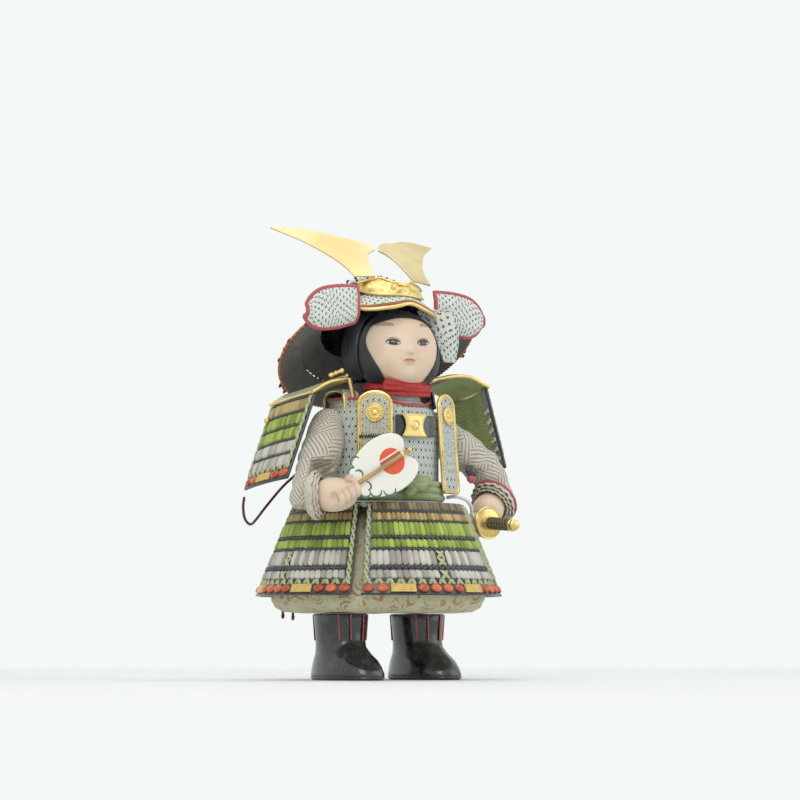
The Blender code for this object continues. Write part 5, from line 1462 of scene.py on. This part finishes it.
def build_sash():
    """The ribbed green sash: wound folds round the waist, and the ribbed knot in front."""
    shape = Shape()
    rows = []
    for z, r in ((131, 40.4), (131.2, 42.0), (130.4, 43.4), (128.9, 43.9), (127.6, 43.2),
                 (127.0, 42.7), (126.4, 43.3), (124.9, 44.2), (123.4, 43.4), (122.9, 42.8),
                 (122.3, 43.5), (120.6, 44.3), (118.9, 43.6), (117.9, 42.2), (117.8, 40.4)):
        row = []
        for k in range(240):
            a = 360 * k / 240
            rib = 0.14 * sin(radians(a) * 76 + z * 0.5)
            row.append(polar(r + rib, a, z + 0.25 * sin(radians(a) * 5 + 1)))
        rows.append(row)
    shape.grid(rows, 0, wrap=True, flip=True)
    shape.build("waist_sash_ribbed", [SASH], ["waist_sash"], crisp=60)

    shape = Shape()
    lobes = (((-10.5, 4.0), (-3.0, 1.2), (3.6, 2.0), (9.6, 6.4), 6.0),
             ((-8.5, -5.4), (-4.0, -1.5), (0.5, 3.5), (3.0, 7.6), 5.4))
    for *spots, half in lobes:
        path = smooth_path([V(x - 1.5, 0, z + 126.3) for x, z in spots], 30)
        rings = []
        for i, p in enumerate(path):
            t = i / 29
            along = (path[min(i + 1, 29)] - path[max(i - 1, 0)]).normalized()
            side = along.cross(V(0, 1, 0)).normalized()
            swell = 0.55 + 0.45 * sin(pi * t)
            ring = []
            for k in range(36):
                a = 2 * pi * k / 36
                rib = 0.28 * sin(9 * a)
                ring.append(p + side * ((half * swell * 0.62 + rib) * cos(a))
                            + V(0, -46.6 + (3.0 * swell + rib) * sin(a), 0))
            rings.append(ring)
        shape.loft(rings, 0)
    band = [V(-1.5 + 4.2 * cos(a), -47.3 + 3.1 * sin(a), 126.8) for a in
            turns(30)]
    shape.tube(band, 2.3, 0, sides=14, closed=True, flat=0.45)
    shape.build("waist_sash_knot", [SASH], crisp=60)


# Head: the face looks a little to the doll's right

HEAD = V(2.8, -19.3, 218)
FACING = Matrix.Rotation(radians(-18), 3, "Z") @ V(0, -1, 0)
LEFTWARD = Matrix.Rotation(radians(-18), 3, "Z") @ V(1, 0, 0)


def hump(x, y, at_x, at_y, wide, high):
    return exp(-((x - at_x) / wide) ** 2 - ((y - at_y) / high) ** 2)


def face_relief(s, h):
    """How far the face stands out at s to its left and h above the head's middle."""
    a = abs(s)
    relief = 2.5 * hump(a, h, 0, -2.6, 2.0, 2.6 if h > -2.6 else 1.3)
    relief += 0.9 * hump(a, h, 0, 2.5, 2.2, 4.5)
    relief += 0.7 * hump(a, h, 2.3, -3.2, 1.2, 1.2)
    relief -= 1.5 * hump(a, h, 10.4, 3.6, 5.6, 3.6)
    relief += 0.55 * hump(a, h, 10.8, 7.4, 5.5, 1.6)
    relief += 0.5 * hump(a, h, 10.6, -0.4, 5.0, 1.6)
    relief += 0.75 * hump(a, h, 1.5, -6.9, 2.6, 0.9)
    relief += 0.95 * hump(a, h, 0, -9.2, 3.3, 1.1)
    relief -= 0.6 * hump(a, h, 0, -8.0, 5.0, 0.5)
    relief -= 0.5 * hump(a, h, 5.3, -8.0, 1.1, 1.1)
    relief -= 0.35 * hump(a, h, 0, -5.2, 0.8, 1.0)
    relief -= 0.7 * hump(a, h, 0, -12.2, 4.5, 1.5)
    relief += 1.3 * hump(a, h, 0, -17.5, 6.0, 4.5)
    relief += 1.1 * hump(a, h, 13.5, -8.5, 6.5, 6.0)
    return relief


def head_section(h):
    power = 2.0 if h > 0 else 2.7
    return max(0.0, 1 - abs(h / 25.2) ** power) ** (1 / power)


def head_point(s, f, h, out):
    local = V(s, f, h)
    lift = face_relief(s, h) * smooth_step(f / 9) + out
    local += local.normalized() * lift
    return HEAD + LEFTWARD * local.x + FACING * local.y + V(0, 0, local.z)


def face_point(s, h, out=0.0):
    wide = 25.3 * head_section(h)
    return head_point(s, sqrt(max(0.0, wide * wide - s * s)), h, out)


def smooth_step(t):
    t = min(1.0, max(0.0, t))
    return t * t * (3 - 2 * t)


def build_head():
    """Head and neck, with finer steps across the face."""
    angles = [-180 + 5 * i for i in range(22)] + [-71 + 0.9 * i for i in range(158)] + [72 + 5 * i for i in range(22)]
    rows = []
    for j in range(1, 120):
        h = 25.2 * sin(radians(-90 + 180 * j / 120))
        wide = head_section(h)
        rows.append([head_point(25.4 * wide * sin(radians(a)), 25.2 * wide * cos(radians(a)), h, 0)
                     for a in angles])
    shape = Shape()
    shape.grid(rows, 0, wrap=True)
    neck = [[V(2 + 9 * cos(a), -10 + 9 * sin(a), z) for a in turns(40)]
            for z in (184.5, 190, 196, 206)]
    shape.loft(neck, 0)
    shape.build("head_modelled", [SKIN], ["head"], crisp=75)
    build_eyes()
    build_brows_and_mouth()


def eye_edge(s, side):
    """Heights of an eye's lower and upper lid at s from its middle."""
    t = s / 4.5
    level = 0.35 * t * side
    reach = max(0.0, 1 - t * t)
    return level - 1.2 * reach ** 0.9, level + 2.15 * reach ** 0.75


def build_eyes():
    """Eyes with their lids, irises, pupils and painted glints."""
    shape = Shape()
    for side in (-1, 1):
        middle = (side * 10.6, 3.3)
        rows = []
        for i in range(25):
            s = -4.5 + 9 * i / 24
            low, high = eye_edge(s, side)
            rows.append([face_point(middle[0] + s, middle[1] + lerp(low, high, k / 10),
                                    0.12 + 0.5 * max(0.0, 1 - (s / 4.5) ** 2) * sin(pi * k / 10))
                         for k in range(11)])
        shape.grid(rows, 0, flip=True)
        for radius, out, slot in ((2.75, 0.05, 1), (1.3, 0.09, 2)):
            ring_rows = []
            for k in range(7):
                r = radius * k / 6 + 0.001
                row = []
                for m in range(28):
                    a = 2 * pi * m / 28
                    s = r * cos(a)
                    low, high = eye_edge(s, side)
                    h = min(high - 0.02, max(low + 0.02, 0.32 + r * sin(a)))
                    share = (h - low) / max(0.01, high - low)
                    swell = 0.12 + 0.5 * max(0.0, 1 - (s / 4.5) ** 2) * sin(pi * share)
                    row.append(face_point(middle[0] + s, middle[1] + h, swell + out))
                ring_rows.append(row)
            shape.grid(ring_rows, slot, wrap=True, flip=True)
        # A painted glint: a small ball of eye white on the iris stands for a highlight
        glint = face_point(middle[0] - 0.7, middle[1] + 1.0, 0.72)
        shape.ball(glint, (0.32, 0.32, 0.32), 0, segments=8, rings=5)
        upper = [face_point(middle[0] - 4.7 + 9.4 * k / 20,
                            middle[1] + eye_edge(-4.5 + 9 * k / 20, side)[1] + 0.1, 0.42) for k in range(21)]
        shape.tube(upper, [0.2 + 0.34 * sin(pi * k / 20) for k in range(21)], 2, sides=8)
        lower = [face_point(middle[0] - 4.3 + 8.6 * k / 16,
                            middle[1] + eye_edge(-4.3 + 8.6 * k / 16, side)[0] - 0.05, 0.22) for k in range(17)]
        shape.tube(lower, 0.12, 3, sides=6)
        crease = [face_point(middle[0] - 4.0 + 8.2 * k / 16,
                             middle[1] + 1.3 + eye_edge(-4.0 + 8.2 * k / 16, side)[1], 0.0) for k in range(17)]
        shape.tube(crease, 0.13, 3, sides=6)
    shape.build("eyes", [EYE_WHITE, IRIS, BLACK, LASH], crisp=60)


def build_brows_and_mouth():
    """Painted brows and lips, laid over the face."""
    shape = Shape()
    for side in (-1, 1):
        for k in range(46):
            t = k / 45
            s = side * (8.6 + 9.2 * t)
            h = 14.4 + 2.0 * sin(pi * (0.25 + 0.6 * t)) + 0.35 * sin(k * 2.7)
            thick = 0.7 + 1.5 * sin(pi * min(1.0, 0.12 + t))
            tip = face_point(s + side * 1.3, h + 0.5 * thick, 0.06)
            shape.tube([face_point(s, h - 0.6 * thick, 0.04), (face_point(s, h, 0.08) + tip) / 2, tip],
                       [0.13, 0.1, 0.03], 0, sides=5)
    rows = []
    for i in range(31):
        s = -4.6 + 9.2 * i / 30
        t = abs(s) / 4.6
        middle = -8.0 - 0.7 * t ** 2
        top = middle + (1.15 - 0.3 * exp(-(s / 0.9) ** 2)) * (1 - t ** 1.7)
        low = middle - 1.25 * (1 - t ** 2.4)
        rows.append([face_point(s, lerp(top, low, k / 12), 0.05) for k in range(13)])
    shape.grid(rows, 1)
    crease = [face_point(4.7 * t, -8.0 - 0.7 * t * t, 0.02) for t in (k / 10 - 1 for k in range(21))]
    shape.tube(crease, [0.06 + 0.14 * sin(pi * k / 20) for k in range(21)], 2, sides=6)
    shape.build("brows_and_mouth", [BROW, LIP, LIP_DARK], crisp=70)


def hair_point(azimuth, z, out):
    """A point on the hair at an angle from the face, clockwise seen from above."""
    share = min(1.0, abs(z - 216) / 31)
    wide = sqrt(max(0.0, 1 - share * share))
    a = radians(azimuth)
    flat = LEFTWARD * sin(a) * (29.6 + out) * wide + FACING * cos(a) * (26.6 + out) * wide
    return V(1 + flat.x, -7 + flat.y, z)


def rim_height(p):
    """The height of the helmet's rim above a point."""
    normal = HELMET.to_3x3() @ V(0, 0, 1)
    origin = BODY.inverted() @ HELMET @ V(0, 0, 0)
    return origin.z - (normal.x * (p.x - origin.x) + normal.y * (p.y - origin.y)) / normal.z


def build_hair():
    """Straight black hair, cut level above the collar, with a fringe under the brim."""
    shape = Shape()
    rows = []
    for j in range(20):
        z = lerp(199, 243, j / 19)
        rows.append([hair_point(62 + 236 * i / 60, z, -1.6) for i in range(61)])
    shape.grid(rows, 0)
    for i in range(240):
        azimuth = 58 + 244 * (i + 0.5) / 240 + 1.2 * sin(i * 2.3)
        top = hair_point(azimuth, 236, 0)
        start = min(245, rim_height(top) - 1.2)
        end = 197.4 + 1.6 * abs(sin(i * 1.7))
        out = 0.35 * sin(i * 3.1)
        lean = 1.2 * sin(i * 0.9)
        path = [hair_point(azimuth + lean * t, lerp(start, end, t), out - 1.2 * t * t) for t in
                shares(10)]
        shape.tube(path, [1.0 - 0.55 * (k / 10) ** 3 for k in range(11)], 0, tone=0.3 + 0.4 * abs(sin(i * 5.1)),
                   sides=6, flat=0.6)
    for side in (-1, 1):
        for k in range(34):
            t = k / 33
            path = []
            for m in range(15):
                z = lerp(197.4, 242.5, m / 14)
                edge = 46 + 36 * smooth_step((z - 199) / 30)
                a, wide = radians(side * lerp(edge, 118, t)), 25.3 * head_section(z - HEAD.z)
                path.append(head_point(wide * sin(a), wide * cos(a), z - HEAD.z,
                                       0.7 + 1.3 * sin(pi * t)))
            shape.tube(path, 0.75, 0, tone=0.3 + 0.3 * abs(sin(k * 5.1)), sides=6, flat=0.7)
    for k in range(110):
        s = -22 + 44 * k / 109
        low = 238.4 - 0.014 * s * s + 0.2 * sin(k * 1.9)
        path = [face_point_at(s * (1 + 0.01 * m), lerp(243.4, low, m / 6), 0.7) for m in range(7)]
        shape.tube(path, [0.8 - 0.4 * (m / 6) ** 2 for m in range(7)], 0, tone=0.4, sides=6, flat=0.6)
    shape.build("hair_strands", [HAIR], ["hair"], crisp=70)


def face_point_at(s, z, out):
    """A point on the face by its height above the floor."""
    h = min(24.9, z - HEAD.z)
    wide = 25.3 * head_section(h)
    s = max(-wide * 0.995, min(wide * 0.995, s))
    return face_point(s, h, out)


# Collar and scarf

def build_collar():
    """The white inner collar, crossed in front, in two folds."""
    shape = Shape()
    for turn, rise in ((0, 0), (1, 0.7)):
        rows = []
        for z, r in ((184.5, 20.2), (186.6, 20.6), (188.4, 18.6), (189.4, 16.0), (189.2, 13.5), (187.5, 11.6)):
            row = []
            for k in range(81):
                a = -pi / 2 + turn * 0.35 + 2 * pi * k / 80
                cross = 0.8 * cos(a + pi / 2 - 0.4 * (1 - 2 * turn))
                row.append(V(2 + (r - rise) * cos(a), -10 + (r - rise) * sin(a), z + rise * 0.5 - cross * 0.4))
            rows.append(row)
        shape.grid(rows, 0)
    for slot, span, out in ((1, 180, 0.0), (0, 34, 0.5)):
        rows = []
        for t in (0, 0.3, 0.6, 0.85, 1.0):
            rows.append([polar(lerp(22, 33.6, t), span * k / 40, lerp(189.0, 181.8, t) + out)
                         for k in range(-40, 41)])
        shape.grid(rows, slot)
    shape.grid([[polar(r, 40 + 4 * k, z) for k in range(21)] for r, z in ((38.6, 180.5), (37, 190), (34, 196))], 1)
    shape.build("collar_folds", [WHITE, MAROON_SILK], ["collar"], crisp=70)


def build_scarf():
    """The red scarf: a band round the neck, and its broad folded front under the chin."""
    shape = Shape()
    rows = []
    for j, (z, r) in enumerate(((190.3, 19.2), (191.4, 20.8), (193.2, 20.9), (194.6, 20.0),
                                (196.0, 19.3), (196.9, 17.6), (197.0, 15.0))):
        rows.append([V(2 + (r + 0.35 * sin(9 * a + j)) * cos(a), -13.5 + (r * 0.93) * sin(a),
                       z + 0.3 * sin(5 * a)) for a in turns(96)])
    shape.grid(rows, 0, wrap=True)
    for layer, (low, high, depth) in enumerate(((187.6, 196.0, 0.0), (190.8, 197.9, 0.9))):
        front, back = [], []
        for j in range(15):
            t = j / 14
            a_row, b_row = [], []
            for k in range(61):
                u = k / 30 - 1
                half = lerp(18.9, 16.6, t)
                dip = 2.4 * (1 - u * u) * t
                z = lerp(low, high, t) - dip
                fold = 0.55 * sin(7.5 * t + 2.2 * u + layer) + 0.3 * sin(15 * t - 3 * u)
                y = -36.1 + 3.4 * u * u + fold - depth + 1.0 * t
                a_row.append(V(half * u + 0.3 * sin(9 * t), y, z))
                b_row.append(V(half * u + 0.3 * sin(9 * t), y + 1.2, z))
            front.append(a_row)
            back.append(b_row)
        shape.grid(front, 0)
        shape.grid(back, 0, flip=True)
        for a, b in ((front[0], back[0]), (front[-1], back[-1]), ([r[0] for r in front], [r[0] for r in back]),
                     ([r[-1] for r in front], [r[-1] for r in back])):
            shape.tube([(p + q) / 2 for p, q in zip(a, b)], 0.75, 0, sides=8)
    scarf = shape.build("neck_scarf_folded", [RED], ["neck_scarf"], crisp=75)


# Hands, fan, sword and the bow at the back

def bent_finger(shape, centre, axis, start, radius, thick, first, last, slot):
    """A finger curled round an axis, from one angle to another measured from a start direction."""
    across = axis.cross(start).normalized()
    path = []
    for k in range(15):
        a = radians(lerp(first, last, k / 14))
        path.append(centre + start * (radius * cos(a)) + across * (radius * sin(a)))
    shape.tube(path, [thick * (0.96 - 0.22 * (k / 14) ** 2) for k in range(15)], slot, sides=14)
    shape.ball(path[-1], (thick * 0.74,) * 3, slot, segments=12, rings=7)
    nail = path[-1] + (path[-1] - centre).normalized() * (thick * 0.55)
    shape.ball(nail, (thick * 0.4,) * 3, slot + 1, segments=10, rings=6)


def build_hand(side, wrist, axis, palm, shift, grip_point, grip_axis, spots, radius, thick):
    """A closed child's hand: palm, four fingers curled round what it holds, and the thumb."""
    wrist, axis = Vector(wrist), Vector(axis).normalized()
    turn = axis.to_track_quat("Z", "Y").to_matrix()
    middle = wrist + axis * shift
    shape = Shape()
    rows = []
    for j in range(1, 30):
        a = pi * j / 30
        row = []
        for k in range(48):
            b = 2 * pi * k / 48
            local = V(palm[0] * sin(a) * cos(b), palm[1] * sin(a) * sin(b),
                      palm[2] * cos(a))
            p = middle + turn @ (local * 0.93)
            along = (p - grip_point).dot(grip_axis)
            off = p - grip_point - grip_axis * along
            if off.length < radius - thick * 0.2:
                p = p + off.normalized() * (radius - thick * 0.2 - off.length)
            row.append(p)
        rows.append(row)
    shape.grid(rows, 0, wrap=True, flip=True)
    start = middle - grip_point
    start = (start - grip_axis * start.dot(grip_axis)).normalized()
    for i, spot in enumerate(spots):
        size = thick * (1.0, 1.04, 1.0, 0.9)[i]
        bent_finger(shape, grip_point + grip_axis * spot, grip_axis, start, radius, size, -28, -205, 0)
    thumb = grip_point + grip_axis * (spots[0] + 1.5)
    bent_finger(shape, thumb, grip_axis, start, radius + 0.6, thick * 1.12, 25, 118, 0)
    shape.build(f"{side}_hand_modelled", [SKIN, NAIL], [f"{side}_hand"], crisp=75)


FAN_BASE = V(-53, -50.6, 126.2)
FAN_ALONG = V(0.856, -0.082, 0.510).normalized()
FAN_FACE = V(-0.196, -0.965, 0.175).normalized()


def fan_frame(lift=0.0):
    return axes_matrix(FAN_BASE + FAN_FACE * lift, FAN_ALONG, FAN_FACE.cross(FAN_ALONG))


def fan_outline(count):
    """The two-lobed blade: a bean on each side of the notch where the shaft runs out."""
    half = [V(41, 0, 0), V(44, 3.5, 0), V(46.5, 8, 0), V(45, 13, 0), V(39, 17, 0), V(30, 18.8, 0), V(20, 18.2, 0),
            V(10, 15, 0), V(2, 10, 0), V(-3, 5, 0), V(-3.6, 0, 0)]
    side = smooth_path(half, count)
    return side + [V(p.x, -p.y, 0) for p in side[::-1][1:-1]]


def cloud_arc(shape, frame, x, y, radius, first, last, lift, slot):
    path = [frame @ V(x + radius * cos(radians(a)), y + radius * sin(radians(a)), lift)
            for a in (lerp(first, last, k / 14) for k in range(15))]
    shape.tube(path, [0.12 + 0.62 * sin(pi * (0.12 + 0.76 * k / 14)) for k in range(15)], slot, sides=8,
               flat=0.3, up=FAN_FACE)


FAN_SHAFT_LIFT = 2.8  # half the blade and half the shaft, with 0.3 between


def build_fan():
    """The two-lobed war fan's blade, painted with a red disc and green clouds, and on the disc a painted shadow of the
    shaft beside a painted highlight.
    """
    frame = fan_frame()
    shape = Shape()
    outline = fan_outline(60)
    middle = V(21, 0, 0)
    for face, flip in ((1, False), (-1, True)):
        layers = [[frame @ (middle + (p - middle) * k + V(0, 0, face * z)) for p in outline]
                  for k, z in ((0.001, 0.9), (0.3, 0.9), (0.6, 0.9), (0.85, 0.88),
                               (0.95, 0.8), (0.985, 0.6), (1.0, 0.25))]
        shape.grid(layers, 0, wrap=True, flip=flip)
    edge = [[frame @ (p + V(0, 0, z)) for p in outline] for z in (-0.25, 0.25)]
    shape.grid(edge, 0, wrap=True)
    for side in (1, -1):
        # Upper side: the dull strip next to the shaft is a painted shadow of the shaft, and the ivory strip left
        # between it and the red disc is a painted highlight along the shaft
        bands = ((1.0, 3.3, 2), (4.3, 8.9, 1)) if side > 0 else ((1.0, 8.9, 1),)
        for low, high, slot in bands:
            rows = []
            for j in range(13):
                v = lerp(low, high - 0.02, j / 12)
                reach = sqrt(max(0.0, 8.9 ** 2 - v * v))
                rows.append([frame @ V(31 + reach * (k / 15 - 1), side * v, 0.95) for k in range(31)])
            shape.grid(rows, slot, flip=side < 0)
    arcs = ((2.5, 7.5, 4.2, 40, 235), (8.5, 12.2, 4.6, 20, 215), (5.6, 4.6, 3.4, 300, 470),
            (2.5, -7.5, 4.2, -235, -40), (9.5, -10.4, 5.0, -215, -20), (18.5, -14.4, 5.4, -200, -15),
            (6.0, -4.6, 3.6, -470, -300))
    for x, y, radius, first, last in arcs:
        cloud_arc(shape, frame, x, y, radius * 0.8, first, last, 0.93, 3)
    shape.build("fan_blade_painted", [FAN_IVORY, FAN_RED, FAN_SHAFT_SHADOW, FAN_GREEN],
                ["fan_blade"], crisp=50)


def build_fan_shaft():
    """The fan's turned wooden shaft, lying on the blade, with gilt ends."""
    shaft = fan_frame(FAN_SHAFT_LIFT)
    shape = Shape()
    path = [shaft @ V(x, 0, 0) for x in (-13, -6, 0, 10, 20, 30, 40, 44, 45.2)]
    shape.tube(path, [1.35, 1.5, 1.55, 1.5, 1.45, 1.4, 1.35, 1.3, 1.1], 0, sides=16)
    shape.ball(shaft @ V(45.4, 0, 0), (1.7, 1.6, 1.6), 1, segments=16, rings=9)
    for x in (-1.5, 38):
        shape.tube([shaft @ V(x, 0, 0), shaft @ V(x + 1.6, 0, 0)], 1.75, 1, sides=16)
    shape.build("fan_shaft_turned", [WOOD, GOLD], ["fan_shaft"], crisp=50)


def lathe(shape, frame, profile, slot, count=48):
    rows = [[frame @ V(r * cos(a), r * sin(a), z) for a in turns(count)]
            for r, z in profile]
    shape.grid(rows, slot, wrap=True)


def build_sword():
    """The sword at the left hip: scabbard, guard, wrapped grip and pommel."""
    centre = V(66.5, -33, 104.5)
    frame = axes_matrix(centre, V(1, 0, 0), V(0, 0, 1))
    shape = Shape()
    rim = [(3.5, 0.8), (9.2, 0.78), (9.6, 0.5), (9.9, 0.75), (10.6, 0.8), (10.95, 0.4), (10.95, -0.4), (10.6, -0.8),
           (9.9, -0.75), (9.6, -0.5), (9.2, -0.78), (3.5, -0.8)]
    lathe(shape, frame, rim, 0, 72)
    lathe(shape, frame, [(0.01, 1.5), (3.4, 1.45), (4.9, 1.2), (5.1, 0.8)], 0, 40)
    lathe(shape, frame, [(5.1, -0.8), (4.9, -1.1), (0.01, -1.1)], 0, 40)
    shape.build("sword_guard_chased", [GOLD], ["sword_guard"], crisp=40)

    start = V(66.5, -34.1, 104.5)
    hilt = V(0, -24, -2).normalized()
    grip = axes_matrix(start, V(1, 0, 0), hilt.cross(V(1, 0, 0)))
    if (grip.to_3x3() @ V(0, 0, 1)).dot(hilt) < 0:
        grip = grip @ Matrix.Diagonal((1, -1, -1, 1))
    shape = Shape()
    lathe(shape, grip, [(3.45, 0.1), (3.5, 6), (3.35, 12), (3.3, 18), (3.2, 24)], 1, 32)
    for phase in (0, pi):
        for sense in (1, -1):
            for offset in range(2):
                path = []
                for k in range(97):
                    t = k / 96
                    a = sense * (phase + 2 * pi * 2.0 * t) + pi * offset / 2
                    wave = 0.16 * cos(a * 8) * sense
                    r = lerp(3.75, 3.4, t) + wave
                    path.append(grip @ V(r * cos(a), r * sin(a), 0.6 + 22.9 * t))
                shape.tube(path, 0.62, 0, sides=6, flat=0.8)
    lathe(shape, grip, [(3.5, 0), (4.15, 0.1), (4.2, 1.4), (3.9, 1.7)], 2, 32)
    shape.build("sword_grip_wrapped", [WRAP, EDGE_BLACK, GOLD], ["sword_grip"], crisp=60)
    shape = Shape()
    lathe(shape, grip, [(0.01, 24.35), (3.7, 24.4), (4.2, 24.8), (4.25, 26.2), (3.9, 26.5), (4.0, 27.2), (3.6, 28.6),
                        (2.6, 29.3), (0.01, 29.5)], 0, 32)
    shape.build("sword_pommel_gilt", [GOLD], ["sword_pommel"], crisp=50)

    route = [V(66.5, -31.9, 104.5), V(67.1, -9.9, 102.9), V(68.9, 20.1, 102.9), V(70.9, 56.1, 107.5)]
    path = smooth_path(route, 48)
    shape = Shape()
    radii = [3.5 * (1 - 0.18 * k / 47) for k in range(48)]
    shape.tube(path, radii, 0, sides=24)
    for first, end, grow in ((0, 3, 0.35), (9, 12, 0.3), (24, 27, 0.3), (43, 48, 0.3)):
        shape.tube(path[first:end], [r + grow for r in radii[first:end]], 1, sides=24)
    shape.build("scabbard_lacquered", [BLACK, GOLD], ["scabbard"], crisp=50)


def build_back_bow():
    """A twisted silk cord tied in a bow: two loops, two short ends and the knot."""
    shape = Shape()
    y = 41.8
    for side in (-1, 1):
        loop = smooth_path([V(side * x, y, 150 + z) for x, z in
                            ((1.5, 0.6), (6, 4.2), (12, 5.6), (17, 3.6), (18, 0), (16.6, -3.6), (12, -5.6), (6, -3.6),
                             (1.5, -0.6))], 60)
        twisted_cord(shape, loop, 1.25, 0)
        end = smooth_path([V(side * x, y + 0.2, 150 + z) for x, z in ((0.6, 0.8), (1.7, 3.6), (3.0, 8.2))], 14)
        twisted_cord(shape, end, 1.1, 0)
    for k in range(3):
        ring = [V(2.9 * cos(a), y + 0.1, 150 + 2.3 * sin(a) + (k - 1) * 0.6) for a in
                turns(20)]
        shape.tube(ring, 1.0, 0, sides=8, closed=True)
    shape.ball((0, y, 150), (2.8, 1.5, 2.8), 0, segments=16, rings=9)
    shape.build("back_bow_tied", [MAROON_SILK], ["back_bow"], crisp=75)


def twisted_cord(shape, path, radius, slot):
    """Three strands twisted round a route."""
    count = len(path)
    for strand_index in range(3):
        turned = []
        for i, p in enumerate(path):
            along = (path[min(i + 1, count - 1)] - path[max(i - 1, 0)]).normalized()
            side = along.cross(V(0, 1, 0.2)).normalized()
            over = side.cross(along)
            a = 0.75 * i + 2 * pi * strand_index / 3
            turned.append(p + (side * cos(a) + over * sin(a)) * radius * 0.45)
        shape.tube(turned, radius * 0.62, slot, tone=0.35 + 0.15 * strand_index, sides=7)


def build_arm_plate():
    """The small lacquered plate with its red end, on the inside of the left sleeve."""
    shape = Shape()
    shape.ball((62.6, -18.6, 139.4), (4.6, 2.2, 3.8), 0, axes=Matrix.Rotation(0.5, 3, "Y"), segments=24, rings=12)
    shape.ball((62.8, -18.8, 134.4), (3.3, 2.0, 3.0), 1, axes=Matrix.Rotation(0.6, 3, "Y"), segments=24, rings=12)
    shape.build("left_arm_plate", [BLACK, PIPING], crisp=60)


def build_guard_fittings():
    """The gilt box at the inner end of the right crown, the toggle over it and the ring boss on the rows."""
    shape = Shape()
    shape.ball((-41.5, -10.5, 201.8), (1.7, 1.7, 1.7), 0, segments=14, rings=8)
    shape.tube([V(-44.5, -9.5, 200.4), V(-37.5, -11.5, 203.4)], 1.25, 0, sides=12)
    for x, z in ((-44.5, 200.4), (-37.5, 203.4)):
        shape.ball((x, -9.5 if x < -40 else -11.5, z), (1.9, 1.9, 1.9), 0, segments=14, rings=8)
    shape.tube([V(-33.4, -14.6, 198.6), V(-30.4, -14.8, 186.2)], 3.4, 0, sides=16, flat=0.45)
    shape.ball((-66.9, 33.4, 171.5), (2.2, 2.2, 2.2), 0, segments=14, rings=8)
    shape.build("right_crown_toggle", [GOLD], crisp=50)


bpy.context.scene.view_settings.view_transform = "Standard"
build_camera()
build_floor()
build_world()
build_lamps()
build_cords()
for panel, facing in (("front", 0), ("left", 90), ("back", 180), ("right", 270)):
    build_skirt_panel(panel, facing)
build_bowl()
build_finial()
build_visor()
build_side_flap()
build_horn_plate()
build_neck_guard_upper()
build_neck_guard_lower()
for side, sign in (("right", -1), ("left", 1)):
    build_horn(side, sign)
    build_turnback(side, sign)
for side, sign, size, crown in (("right", -1, RIGHT_GUARD, RIGHT_CROWN), ("left", 1, LEFT_GUARD, LEFT_CROWN)):
    build_shoulder_rows(side, sign, size)
    build_shoulder_crown(side, sign, size, crown)
build_sleeve("right", RIGHT_ARM, RIGHT_WRIST, RIGHT_AXIS, 1.7)
build_sleeve("left", LEFT_ARM, LEFT_WRIST, LEFT_AXIS, 5.2)
build_cuff("right", RIGHT_WRIST, RIGHT_AXIS, False)
build_cuff("left", LEFT_WRIST, LEFT_AXIS, True)
build_trousers()
build_boot("right", -31)
build_boot("left", 31)
build_trunk()
build_chest_plate()
build_chest_guard("right", -38, 0, 146, SMALL_DIAMOND)
build_chest_guard("left", 27, 16, 124, DIAMOND)
build_sash()
build_head()
build_hair()
build_collar()
build_scarf()
build_hand("right", RIGHT_WRIST, RIGHT_AXIS, (12, 12, 17), 16, fan_frame(FAN_SHAFT_LIFT) @ V(-8.5, 0, 0), FAN_ALONG,
           (4.6, 0.2, -4.2, -8.2), 4.9, 2.9)
build_hand("left", LEFT_WRIST, LEFT_AXIS, (11.5, 11, 13.5), 11.5, V(66.9, -21, 103.4),
           V(0.027, 1, -0.03).normalized(), (-7.4, -3.0, 1.4, 5.6), 6.2, 2.8)
build_fan()
build_fan_shaft()
build_sword()
build_back_bow()
build_arm_plate()
build_guard_fittings()
